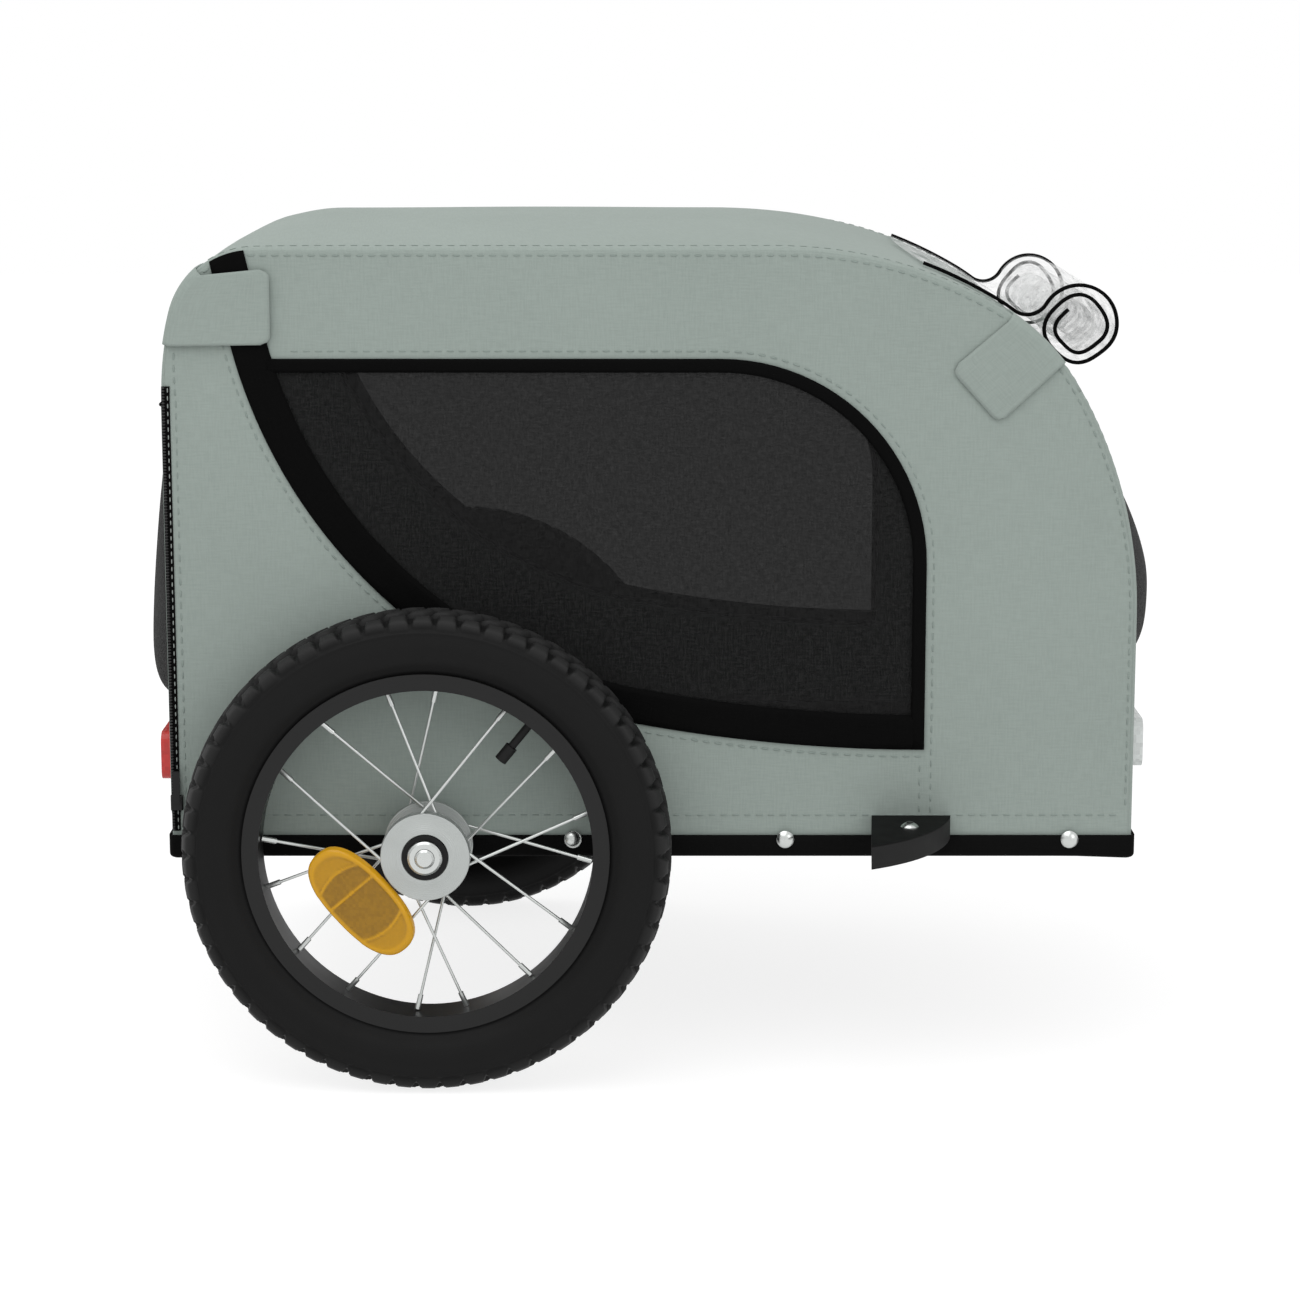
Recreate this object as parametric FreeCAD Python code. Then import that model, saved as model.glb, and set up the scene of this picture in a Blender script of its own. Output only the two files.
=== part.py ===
import FreeCAD, Part
import math
import os

# Two-wheeled dog trailer with a cloth cabin on a steel floor frame.
# Millimetres. +X is forward, +Y is the left side, +Z is up; the origin is on the ground
# under the middle of the body. The right side is modelled and mirrored to the left.
V = FreeCAD.Vector

# Clearances
FIT = 0.3               # between pieces that lie against each other
RUNNING = 0.05          # radial play of a shaft in its bearing
HOLE_PLAY = 0.3         # radial play of a bolt in its hole
SKIP = 1e-9             # degrees, to name the arc after a joint of two arcs

# Cloth cover
CABIN_LENGTH = 707.0
CABIN_WIDTH = 450.0
ROOF_Z = 611.0          # roof seam along the side panels
ROOF_CROWN = 15.0       # rise of the roof's middle over that seam
HEM_Z = 183.0           # upper edge of the black floor cloth
CLOTH = 2.0
REAR_SWEEP_R = 240.0    # gentle lean at the top of the rear edge
REAR_SWEEP_TURN = 15.0
REAR_CORNER_R = 62.0
BROW_R = 310.0          # roof's fall towards the front
BROW_TURN = 30.0
SHOULDER_R = 165.0
SHOULDER_TURN = 30.0
FACE_R = 330.0
ROOF_SECTIONS = 5
ROOF_HEM = 2.0          # straight lower edge of the roof cloth behind

# Side window: mesh, narrow tape above and in front, wide band below and behind
WINDOW_DROP = 79.0          # roof seam to the window's top
WINDOW_FRONT_INSET = 154.0  # cabin's front to the window's front edge
WINDOW_SILL_RISE = 62.0     # hem to the window's lowest point
WINDOW_CORNER_R = 150.0
SILL_R = 1144.0
SILL_TURN = 10.5            # where the sill's arc meets the band's tighter arc
BAND_R = 372.0
BAND_TURN = 77.0
BAND_WIDTH = 26.0
TAPE_WIDTH = 10.0
TAPE = 1.8
MESH = 1.0
BAND_TOP_DROP = 6.0         # roof seam to the band's upper end

# Floor frame
RAIL = 25.0
RAIL_WALL = 2.0
FLOOR = 4.0
HOOP_OD = 16.0
HOOP_WALL = 1.5
ROOF_BAR_TURN = 47.0        # place of the front roof bar on the hoop's shoulder

# Rail bolts
BOLT_OFFSETS = (105.3, 261.6)   # forward from the axle
FRONT_BOLT_INSET = 46.1         # back from the cabin's front
BOLT_R = 3.0
BOLT_HEAD_R = 6.5
BOLT_HEAD_H = 4.5
BOLT_RIM_H = 1.2
BOLT_TAIL = 6.0             # beyond the rail's wall
NUT_R = 5.6
NUT_H = 5.0

# Wheel guard, measured forward from the axle
GUARD_FROM_AXLE = 325.0
GUARD_SPAN = 58.0
GUARD_REACH = 98.0
GUARD_TIP_BACK = 6.0        # tip behind the root of the rear edge
GUARD_NOSE_R = 132.5
GUARD_TOP_Z = 196.0
GUARD_H = 17.0
GUARD_WALL = 3.0
GUARD_BOLT_IN = 25.0        # behind edge to bolt
GUARD_BOLT_OUT = 42.0       # cabin side to bolt
GUARD_ARM_W = 20.0
GUARD_ARM_T = 6.0
GUARD_BOSS_R = 8.0

# Tow bar socket under the left rail
SOCKET_SIZE = 32.0
SOCKET_BORE_R = 12.8
SOCKET_LENGTH = 110.0
SOCKET_FROM_FRONT = 8.0

# Doors
DOOR_BULGE = 36.5
DOOR_SECTIONS = 7
DOOR_MESH = 1.5
DOOR_PLAY = 0.5
BEAD_R = 1.5                # piping along a sewn hinge edge
REAR_DOOR_RISE = 14.3       # hem to the rear door's foot
REAR_DOOR_HEAD_GAP = 2.0    # below the roof cloth's rear edge
REAR_BORDER = 28.0          # cloth beside the rear net
REAR_NET_RISE = 85.0        # door's foot to the net's lower edge
REAR_NET_DROP = 11.0        # door's head to the net's upper edge
REAR_APEX_RISE = 13.0       # net's lower edge to the widest point of its bulge
FRONT_DOOR_HALF = 192.0
FRONT_DOOR_FOOT_Z = 285.0
FRONT_DOOR_HEAD_Z = 470.0
FRONT_BORDER = 14.0
FRONT_APEX_RISE = 73.0      # door's foot to the widest point of its bulge
FRONT_CHIN_RISE = 40.0      # door's foot to the lower bend of its bulge
FRONT_CHIN_SHARE = 0.85     # bulge left at that bend

# Zips
ZIP_W = 7.0
ZIP_T = 1.0
REAR_ZIP_RISE = 17.0        # hem to the zip's lower end
REAR_ZIP_LENGTH = 312.0
SLIDER_W = 9.0
SLIDER_L = 11.0
SLIDER_T = 3.0
PULL_W = 5.0
PULL_L = 24.0
PULL_T = 1.2

# Sewn patches on the roof's corners
PATCH = 2.0
REAR_PATCH_INSET = 16.0     # cabin's rear to the patch
REAR_PATCH_LENGTH = 64.0
REAR_PATCH_DROP = 15.0      # roof seam to the patch's upper edge
REAR_PATCH_H = 54.0
FRONT_PATCH_TURN = 43.0     # where its outer edge lies on the shoulder
FRONT_PATCH_INSET = 6.0
FRONT_PATCH_LEAN = 48.0     # the way the patch points
FRONT_PATCH_W = 52.0
FRONT_PATCH_LENGTH = 54.0

# Rolled rain cover on the front shoulder
ROLL_R = 28.0
ROLL_PITCH = 7.6
ROLL_HALF_TURNS = 6
ROLL_HALF = 165.0
ROLL_TURN = 50.3            # where the roll lies on the shoulder
ROLL_SHEET = 1.4
FLAP_SEAM_TURN = 21.0       # sewn edge of the flap on the brow
FLAP_LIFT = 1.2             # flap over the roof's edge, for the roof's crown
FLAP_BEND_R = 16.0          # bend from the roof up on to the roll
BINDING_W = 4.0
BINDING_T = 2.6

# Reflectors
REFLECTOR_W = 60.0
REFLECTOR_H = 36.0
REFLECTOR_T = 10.0
REFLECTOR_ROUND = 8.0
REFLECTOR_OFF_CENTRE = 170.0
REAR_REFLECTOR_RISE = 33.0  # hem to the reflector's lower edge
FRONT_REFLECTOR_RISE = 43.0

# Wheels
TYRE_OD = 356.0
TYRE_WIDTH = 50.0
TRACK = 520.0
AXLE_FROM_REAR = 190.0
TYRE_BULGE_R = 153.0        # radius at the tyre's widest
SHOULDER_DROP = 7.5         # tread crown to tread shoulder
SHOULDER_HALF = 20.5
SIDEWALL_SWELL = 0.8        # share of the bulge halfway up the lower sidewall
UPPER_SWELL = 0.3           # share of the way in to the shoulder halfway up
CAVITY_CENTRE_R = 153.5
CAVITY_R = 20.8
BEAD_WIDTH = 4.2
TUBE_WALL = 1.2
RIM_INNER_R = 121.0
RIM_FLANGE_R = 133.0
RIM_WIDTH = 34.0
RIM_WALL = 2.5
SPOKE_R = 1.1
NIPPLE_R = 2.0
NIPPLE_L = 11.0
NIPPLE_GAP = 0.7
SPOKE_RIM_ANGLES = (-4.0, 13.3, 38.5, 60.7)     # repeated every quarter turn
SPOKE_LEADS = (33.0, -31.0, -31.0, 39.0)        # hub end ahead of rim end
SPOKE_FLANGES = (1, -1, 1, -1)                  # -1 is the outer flange
SPOKE_QUARTERS = 4
SPOKE_CIRCLE_R = 29.0
SPOKE_STANDOFF = 2.4        # spokes laced outside a flange
SPOKE_CLEAR = 0.15
HUB_LENGTH = 42.0
HUB_FLANGE_R = 32.5
HUB_FLANGE_OUT = 19.0       # wheel's middle to the flange's outer face
HUB_FLANGE_T = 3.0
HUB_BARREL_R = 19.0
HUB_BOSS_R = 20.0
BEARING_R = 14.0
BEARING_W = 8.0
HUB_BORE_R = 12.5
SEAL_R = 16.5
SEAL_T = 3.0
VALVE_ANGLE = 51.0
VALVE_STEM_R = 3.0
VALVE_REACH = 31.0          # below the rim
VALVE_CAP_R = 4.6
VALVE_CAP_L = 13.0
VALVE_CAP_PROUD = 4.3       # beyond the stem's end
SPOKE_REFLECTOR_L = 94.0
SPOKE_REFLECTOR_W = 40.0
SPOKE_REFLECTOR_T = 8.0
SPOKE_REFLECTOR_ROUND = 16.8
SPOKE_REFLECTOR_R = 57.0    # hub centre to its centre
SPOKE_REFLECTOR_ANGLE = 216.0
SPOKE_REFLECTOR_LEAN = 222.0
SPOKE_REFLECTOR_LIFT = 14.1  # wheel's middle to its back, at its centre

# Quick-release axles
AXLE_R = 6.0
AXLE_REACH = 65.0           # wheel's middle to the axle's inner end
AXLE_TUBE_OD = 18.0
AXLE_TUBE_GAP = 1.0         # hub to the end of the axle tube
HEAD_R = 12.4
HEAD_H = 6.7
HEAD_BEVEL = 1.5
BUTTON_R = 7.0
BUTTON_SINK = 5.0
BUTTON_CAP_H = 3.8
BUTTON_PROUD = 2.0
BUTTON_STEM_R = 2.6
BUTTON_STEM_L = 24.0
SPRING_BORE_R = 3.0
SPRING_BORE_L = 43.0
SPRING_WIRE_R = 0.4
SPRING_TURNS = 7

# Places that follow from the sizes above
REAR_X = -CABIN_LENGTH / 2
FRONT_X = CABIN_LENGTH / 2
SIDE_Y = -CABIN_WIDTH / 2
TYRE_R = TYRE_OD / 2
AXLE_X = REAR_X + AXLE_FROM_REAR
AXLE_Z = TYRE_R
WHEEL_Y = -TRACK / 2
RAIL_TOP_Z = AXLE_Z + RAIL / 2
RAIL_FOOT_Z = AXLE_Z - RAIL / 2
LINING = CLOTH + FIT                    # cloth and its gap to the frame
RAIL_OUT_Y = SIDE_Y + LINING
RAIL_IN_Y = RAIL_OUT_Y + RAIL
RAIL_END = CABIN_LENGTH / 2 - LINING
HOOP_R = HOOP_OD / 2
HOOP_Y = SIDE_Y + LINING + HOOP_R
SWEEP_TOP = -90 + REAR_SWEEP_TURN
SHOULDER_END = BROW_TURN + SHOULDER_TURN
WINDOW_TOP_Z = ROOF_Z - WINDOW_DROP
WINDOW_FRONT_X = FRONT_X - WINDOW_FRONT_INSET
WINDOW_SILL_Z = HEM_Z + WINDOW_SILL_RISE
TAPE_Y = SIDE_Y - FIT / 2 - TAPE        # outer face of the window tape
CLOTH_OUT_Y = SIDE_Y - LINING           # outer face of the floor cloth
BOLT_PLACES = [AXLE_X + offset for offset in BOLT_OFFSETS] + [FRONT_X - FRONT_BOLT_INSET]
GUARD_X = AXLE_X + GUARD_FROM_AXLE
GUARD_BOLT_X = GUARD_X + GUARD_BOLT_IN
GUARD_BOLT_Y = SIDE_Y - GUARD_BOLT_OUT
REAR_ARCS = ((-90, SWEEP_TOP, REAR_SWEEP_R), (SWEEP_TOP, 0, REAR_CORNER_R))
FRONT_ARCS = ((0, BROW_TURN, BROW_R), (BROW_TURN, SHOULDER_END, SHOULDER_R),
              (SHOULDER_END, 90, FACE_R))


def sin(angle):
    return math.sin(math.radians(angle))


def cos(angle):
    return math.cos(math.radians(angle))


def facing(turn):
    """Outward direction of the cover's outline: -90 rearward, 0 up, 90 forward."""
    return V(sin(turn), 0, cos(turn))


def spoke_way(angle):
    """Direction in the wheel's plane, counted from forward to up."""
    return V(cos(angle), 0, sin(angle))


def fall(arcs):
    return sum(radius * abs(cos(last) - cos(first)) for first, last, radius in arcs)


REAR_TURN_Z = ROOF_Z - fall(REAR_ARCS)
FRONT_TURN_Z = ROOF_Z - fall(FRONT_ARCS)
ROOF_REAR_Z = REAR_TURN_Z - ROOF_HEM
REAR_DOOR_HEAD_Z = ROOF_REAR_Z - REAR_DOOR_HEAD_GAP
REAR_DOOR_FOOT_Z = HEM_Z + REAR_DOOR_RISE
REAR_DOOR_HALF = CABIN_WIDTH / 2 - FIT


def line(start, end):
    return Part.makeLine(start, end)


def arc(centre, radius, first, last):
    points = [centre + facing(turn) * radius for turn in (first, (first + last) / 2, last)]
    return Part.Arc(*points).toShape()


def begin(edge):
    return edge.valueAt(edge.FirstParameter)


def finish(edge):
    return edge.valueAt(edge.LastParameter)


def loop(edges):
    return Part.Wire(Part.__sortEdges__(edges))


def polygon(points):
    return Part.makePolygon(list(points) + [points[0]])


def slab(wire, y_low, y_high):
    """Solid between two planes square to Y, from a closed wire at y = 0."""
    face = Part.Face(wire)
    face.translate(V(0, y_low, 0))
    return face.extrude(V(0, y_high - y_low, 0))


def block(low, high):
    size = high - low
    return Part.makeBox(size.x, size.y, size.z, low)


def rod_y(radius, y_low, y_high, x, z):
    return Part.makeCylinder(radius, y_high - y_low, V(x, y_low, z), V(0, 1, 0))


def rod(radius, start, end):
    return Part.makeCylinder(radius, start.distanceToPoint(end), start, end - start)


def turned(wire):
    """Solid of revolution about Y, from a closed wire of radius (x) against width (y)."""
    return Part.Face(wire).revolve(V(0, 0, 0), V(0, 1, 0), 360)


def mirrored(shape):
    return shape.mirror(V(0, 0, 0), V(0, 1, 0))


def pair(shape):
    return Part.makeCompound([shape, mirrored(shape)])


def cover_arcs(lift):
    """Arcs of the cover's outline from rear to front, where the roof is lifted by its crown."""
    chain = []
    point = V(REAR_X, 0, REAR_TURN_Z + lift)
    for first, last, radius in REAR_ARCS:
        centre = point - facing(first) * radius
        point = centre + facing(last) * radius
        chain.append((centre, radius, first, last))
    ahead = []
    point = V(FRONT_X, 0, FRONT_TURN_Z)
    for first, last, radius in reversed(FRONT_ARCS):
        if first == 0:
            radius += lift / (1 - cos(last))
        centre = point - facing(last) * radius
        point = centre + facing(first) * radius
        ahead.insert(0, (centre, radius, first, last))
    return chain + ahead


CORNER_CENTRE, BROW_CENTRE, SHOULDER_CENTRE, FACE_CENTRE = [piece[0] for piece in cover_arcs(0)[1:]]


def cover_edges(inset, first=-90, last=90, rear_z=None, front_z=None, lift=0):
    """Outline between two turns, set in by a distance, with straight legs where a z is given."""
    edges = []
    for centre, radius, low, high in cover_arcs(lift):
        low, high = max(low, first), min(high, last)
        if low < high:
            edge = arc(centre, radius - inset, low, high)
            if edges and finish(edges[-1]).distanceToPoint(begin(edge)) > FIT:
                edges.append(line(finish(edges[-1]), begin(edge)))
            edges.append(edge)
    if rear_z is not None:
        top = begin(edges[0])
        edges.insert(0, line(V(top.x, 0, rear_z), top))
    if front_z is not None:
        top = finish(edges[-1])
        edges.append(line(top, V(top.x, 0, front_z)))
    return edges


def strip(outer, inner):
    """Closed wire between two outlines that run the same way."""
    ends = [line(finish(outer[-1]), finish(inner[-1])), line(begin(inner[0]), begin(outer[0]))]
    return loop(outer + ends + inner)


def face_x(z):
    """Outer face of the cover's front at a height."""
    if z <= FRONT_TURN_Z:
        return FRONT_X
    return FACE_CENTRE.x + math.sqrt(FACE_R ** 2 - (z - FACE_CENTRE.z) ** 2)


def rail():
    """Square tube along the floor's edge, with the guard's flat arm welded to its side."""
    tube = block(V(-RAIL_END, RAIL_OUT_Y, RAIL_FOOT_Z), V(RAIL_END, RAIL_IN_Y, RAIL_TOP_Z))
    hollow = block(V(-RAIL_END, RAIL_OUT_Y + RAIL_WALL, RAIL_FOOT_Z + RAIL_WALL),
                   V(RAIL_END, RAIL_IN_Y - RAIL_WALL, RAIL_TOP_Z - RAIL_WALL))
    tube = tube.cut(hollow)
    tube = tube.cut(rod_y(AXLE_TUBE_OD / 2 + FIT / 2, RAIL_OUT_Y, RAIL_IN_Y, AXLE_X, AXLE_Z))
    tube = tube.cut(bolt_holes(RAIL_OUT_Y, RAIL_OUT_Y + RAIL_WALL))
    arm_end = GUARD_BOLT_Y - GUARD_ARM_W / 2
    arm = block(V(GUARD_BOLT_X - GUARD_ARM_W / 2, arm_end, RAIL_TOP_Z - GUARD_ARM_T),
                V(GUARD_BOLT_X + GUARD_ARM_W / 2, RAIL_OUT_Y, RAIL_TOP_Z))
    hole = Part.makeCylinder(BOLT_R + HOLE_PLAY, GUARD_ARM_T,
                             V(GUARD_BOLT_X, GUARD_BOLT_Y, RAIL_TOP_Z - GUARD_ARM_T))
    return tube.fuse(arm.cut(hole)).removeSplitter()


def bolt_holes(y_low, y_high):
    """Holes for the rail bolts through one layer of the right side."""
    return [rod_y(BOLT_R + HOLE_PLAY, y_low, y_high, x, AXLE_Z) for x in BOLT_PLACES]


def cross_tube():
    """Square tube between the rails at the front; mirrored for the rear."""
    tube = block(V(RAIL_END - RAIL, RAIL_IN_Y, RAIL_FOOT_Z), V(RAIL_END, -RAIL_IN_Y, RAIL_TOP_Z))
    hollow = block(V(RAIL_END - RAIL + RAIL_WALL, RAIL_IN_Y, RAIL_FOOT_Z + RAIL_WALL),
                   V(RAIL_END - RAIL_WALL, -RAIL_IN_Y, RAIL_TOP_Z - RAIL_WALL))
    return tube.cut(hollow)


def axle_cross_tube():
    """Round tube through both rails; each wheel's axle plugs into one end."""
    end = WHEEL_Y + HUB_LENGTH / 2 + AXLE_TUBE_GAP
    tube = rod_y(AXLE_TUBE_OD / 2, end, -end, AXLE_X, AXLE_Z)
    return tube.cut(rod_y(AXLE_R + RUNNING, end, -end, AXLE_X, AXLE_Z))


def floor_board():
    """Board on the rails, between the feet of the hoops."""
    half = -HOOP_Y - HOOP_R - FIT
    return block(V(-RAIL_END, -half, RAIL_TOP_Z), V(RAIL_END, half, RAIL_TOP_Z + FLOOR))


def floor_cloth():
    """Black cloth tray under the frame, turned up over the hem of the cover."""
    out = V(CABIN_LENGTH / 2 + LINING, -CLOTH_OUT_Y, HEM_Z)
    foot = RAIL_FOOT_Z - FIT
    tray = block(V(-out.x, -out.y, foot - CLOTH), out)
    tray = tray.cut(block(V(CLOTH - out.x, CLOTH - out.y, foot), V(out.x - CLOTH, out.y - CLOTH, HEM_Z)))
    holes = bolt_holes(CLOTH_OUT_Y, CLOTH_OUT_Y + CLOTH)
    holes.append(rod_y(AXLE_TUBE_OD / 2 + FIT, CLOTH_OUT_Y, CLOTH_OUT_Y + CLOTH, AXLE_X, AXLE_Z))
    low, high = socket_corners()
    room = V(FIT, FIT, 0)
    return tray.cut(holes + [mirrored(hole) for hole in holes] + [block(low - room, high + room)])


def hoop():
    """Bent tube behind a side panel, standing on the rail."""
    path = loop(cover_edges(LINING + HOOP_R, rear_z=RAIL_TOP_Z, front_z=RAIL_TOP_Z))
    path.translate(V(0, HOOP_Y, 0))
    foot = V(REAR_X + LINING + HOOP_R, HOOP_Y, RAIL_TOP_Z)
    tubes = []
    for radius in (HOOP_R, HOOP_R - HOOP_WALL):
        section = Part.Wire(Part.makeCircle(radius, foot, V(0, 0, 1)))
        tubes.append(path.makePipeShell([section], True, False))
    return tubes[0].cut(tubes[1])


def roof_bar(place):
    """Straight tube between the hoops, through a point of their middle line."""
    half = -HOOP_Y - HOOP_R - FIT
    bar = rod_y(HOOP_R, -half, half, place.x, place.z)
    return bar.cut(rod_y(HOOP_R - HOOP_WALL, -half, half, place.x, place.z))


def rear_roof_bar():
    return roof_bar(CORNER_CENTRE + facing(0) * (REAR_CORNER_R - LINING - HOOP_R))


def front_roof_bar():
    return roof_bar(SHOULDER_CENTRE + facing(ROOF_BAR_TURN) * (SHOULDER_R - LINING - HOOP_R))


def sill_point(radius_cut, turn):
    """Point of the band's curve: sill arc up to SILL_TURN, then the rear arc."""
    sill = V(WINDOW_FRONT_X, 0, WINDOW_SILL_Z + SILL_R)
    if turn <= SILL_TURN:
        return sill - facing(turn) * (SILL_R - radius_cut)
    rear = sill - facing(SILL_TURN) * (SILL_R - BAND_R)
    return rear - facing(turn) * (BAND_R - radius_cut)


def band_turn_at(radius_cut, z):
    """Turn of the band's rear arc at a height."""
    rear_z = WINDOW_SILL_Z + SILL_R - cos(SILL_TURN) * (SILL_R - BAND_R)
    return math.degrees(math.acos((rear_z - z) / (BAND_R - radius_cut)))


def band_arc(radius_cut, first, last):
    points = [sill_point(radius_cut, turn) for turn in (first, (first + last) / 2, last)]
    return Part.Arc(*points).toShape()


def window_corner(margin):
    """Rounded upper front corner of the window, from its top edge to its front edge."""
    centre = V(WINDOW_FRONT_X - WINDOW_CORNER_R, 0, WINDOW_TOP_Z - WINDOW_CORNER_R)
    return arc(centre, WINDOW_CORNER_R - margin, 0, 90)


def window_loop(margin, band_margin):
    """Window's outline, set in by one margin along the tape and another along the band."""
    low_turn = math.degrees(math.asin(margin / (SILL_R - band_margin)))
    top_turn = band_turn_at(band_margin, WINDOW_TOP_Z - margin)
    corner = window_corner(margin)
    sill = band_arc(band_margin, low_turn, SILL_TURN)
    rear = band_arc(band_margin, SILL_TURN + SKIP, top_turn)
    return loop([corner, line(finish(corner), begin(sill)), sill, rear,
                 line(finish(rear), begin(corner))])


def side_panel():
    """Side of the cabin: cloth with the window cut out and holes along its foot."""
    edges = cover_edges(LINING, rear_z=RAIL_FOOT_Z, front_z=RAIL_FOOT_Z)
    edges.append(line(finish(edges[-1]), begin(edges[0])))
    inner_y = SIDE_Y + CLOTH
    panel = slab(loop(edges), SIDE_Y, inner_y)
    panel = panel.cut(slab(window_loop(TAPE_WIDTH / 2, BAND_WIDTH / 2), SIDE_Y, inner_y))
    holes = bolt_holes(SIDE_Y, inner_y)
    holes.append(rod_y(AXLE_TUBE_OD / 2 + FIT, SIDE_Y, inner_y, AXLE_X, AXLE_Z))
    half = GUARD_ARM_W / 2 + FIT
    holes.append(block(V(GUARD_BOLT_X - half, SIDE_Y, RAIL_TOP_Z - GUARD_ARM_T - FIT),
                       V(GUARD_BOLT_X + half, inner_y, RAIL_TOP_Z + FIT)))
    return panel.cut(holes)


def window_mesh():
    """Net that fills the window's opening."""
    outline = window_loop(TAPE_WIDTH / 2 + FIT, BAND_WIDTH / 2 + FIT)
    return slab(outline, SIDE_Y, SIDE_Y + MESH)


def window_trim():
    """Tape round the window; the band behind it runs on up to the roof."""
    corner = window_corner(0)
    outer = [band_arc(0, 0, SILL_TURN), band_arc(0, SILL_TURN + SKIP, BAND_TURN)]
    rise = V(-cos(BAND_TURN), 0, sin(BAND_TURN))
    ends = []
    for cut in (0, BAND_WIDTH):
        start = sill_point(cut, BAND_TURN)
        ends.append(start + rise * ((ROOF_Z - BAND_TOP_DROP - start.z) / rise.z))
    inner = band_arc(BAND_WIDTH, band_turn_at(BAND_WIDTH, WINDOW_TOP_Z), BAND_TURN)
    edges = outer + [line(finish(outer[-1]), ends[0]), line(ends[0], ends[1]),
                     line(ends[1], finish(inner)), inner, line(begin(inner), begin(corner)),
                     corner, line(finish(corner), begin(outer[0]))]
    trim = slab(loop(edges), TAPE_Y, TAPE_Y + TAPE)
    return trim.cut(slab(window_loop(TAPE_WIDTH, BAND_WIDTH), TAPE_Y, TAPE_Y + TAPE))


def roof_panel():
    """Crowned cloth from the rear door over the roof to the front panel."""
    sections = []
    for index in range(ROOF_SECTIONS):
        share = 2 * index / (ROOF_SECTIONS - 1) - 1
        lift = ROOF_CROWN * (1 - share ** 2)
        outer = cover_edges(0, last=SHOULDER_END, rear_z=ROOF_REAR_Z, lift=lift)
        inner = cover_edges(CLOTH, last=SHOULDER_END, rear_z=ROOF_REAR_Z, lift=lift)
        wire = strip(outer, inner)
        wire.translate(V(0, share * CABIN_WIDTH / 2, 0))
        sections.append(wire)
    return Part.makeLoft(sections, True, False)


def rear_panel():
    """Strip of cloth below the rear door."""
    return block(V(REAR_X, SIDE_Y, RAIL_FOOT_Z), V(REAR_X + CLOTH, -SIDE_Y, REAR_DOOR_FOOT_Z - DOOR_PLAY))


def front_panel():
    """Cloth of the cabin's front, with the doorway cut out."""
    first = SHOULDER_END + math.degrees(FIT / FACE_R)
    outline = strip(cover_edges(0, first=first, front_z=RAIL_FOOT_Z),
                    cover_edges(CLOTH, first=first, front_z=RAIL_FOOT_Z))
    half = FRONT_DOOR_HALF + DOOR_PLAY
    doorway = block(V(0, -half, FRONT_DOOR_FOOT_Z - DOOR_PLAY),
                    V(FRONT_X, half, FRONT_DOOR_HEAD_Z + DOOR_PLAY))
    return slab(outline, SIDE_Y, -SIDE_Y).cut(doorway)


def bulged_net(half, section_at):
    """Net that bellies out most in the middle of the door's width."""
    sections = []
    for index in range(DOOR_SECTIONS):
        share = 2 * index / (DOOR_SECTIONS - 1) - 1
        wire = polygon(section_at(1 - share ** 2))
        wire.translate(V(0, share * half, 0))
        sections.append(wire)
    return Part.makeLoft(sections, True, True)


def rear_net_section(swell):
    """Section of the rear net: straight from its head to the bulge, then back in."""
    foot_z = REAR_DOOR_FOOT_Z + REAR_NET_RISE + FIT
    outer = [V(REAR_X, 0, REAR_DOOR_HEAD_Z - REAR_NET_DROP - FIT),
             V(REAR_X - DOOR_BULGE * swell, 0, foot_z + REAR_APEX_RISE), V(REAR_X, 0, foot_z)]
    return outer + [point + V(DOOR_MESH, 0, 0) for point in reversed(outer)]


def front_net_section(swell):
    """Section of the front net: straight from its head to the bulge, then round its chin."""
    inset = FRONT_BORDER + FIT
    head_z = FRONT_DOOR_HEAD_Z - inset
    outer = [V(face_x(head_z), 0, head_z)]
    for rise, share in ((FRONT_APEX_RISE, 1), (FRONT_CHIN_RISE, FRONT_CHIN_SHARE)):
        z = FRONT_DOOR_FOOT_Z + rise
        flat_x = face_x(z)
        outer.append(V(flat_x + (FRONT_X + DOOR_BULGE * share - flat_x) * swell, 0, z))
    outer.append(V(FRONT_X, 0, FRONT_DOOR_FOOT_Z + inset))
    return outer + [point - V(DOOR_MESH, 0, 0) for point in reversed(outer)]


def rear_door_mesh():
    return bulged_net(REAR_DOOR_HALF - REAR_BORDER - FIT, rear_net_section)


def front_door_mesh():
    return bulged_net(FRONT_DOOR_HALF - FRONT_BORDER - FIT, front_net_section)


def rear_door_border():
    """Cloth of the rear door round its net, with a piped edge that it swings on."""
    half = REAR_DOOR_HALF
    border = block(V(REAR_X, -half, REAR_DOOR_FOOT_Z), V(REAR_X + CLOTH, half, REAR_DOOR_HEAD_Z))
    opening = half - REAR_BORDER
    border = border.cut(block(V(REAR_X, -opening, REAR_DOOR_FOOT_Z + REAR_NET_RISE),
                              V(REAR_X + CLOTH, opening, REAR_DOOR_HEAD_Z - REAR_NET_DROP)))
    bead = rod_y(BEAD_R, -half, half, REAR_X, REAR_DOOR_HEAD_Z)
    return border.fuse(bead)


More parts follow.
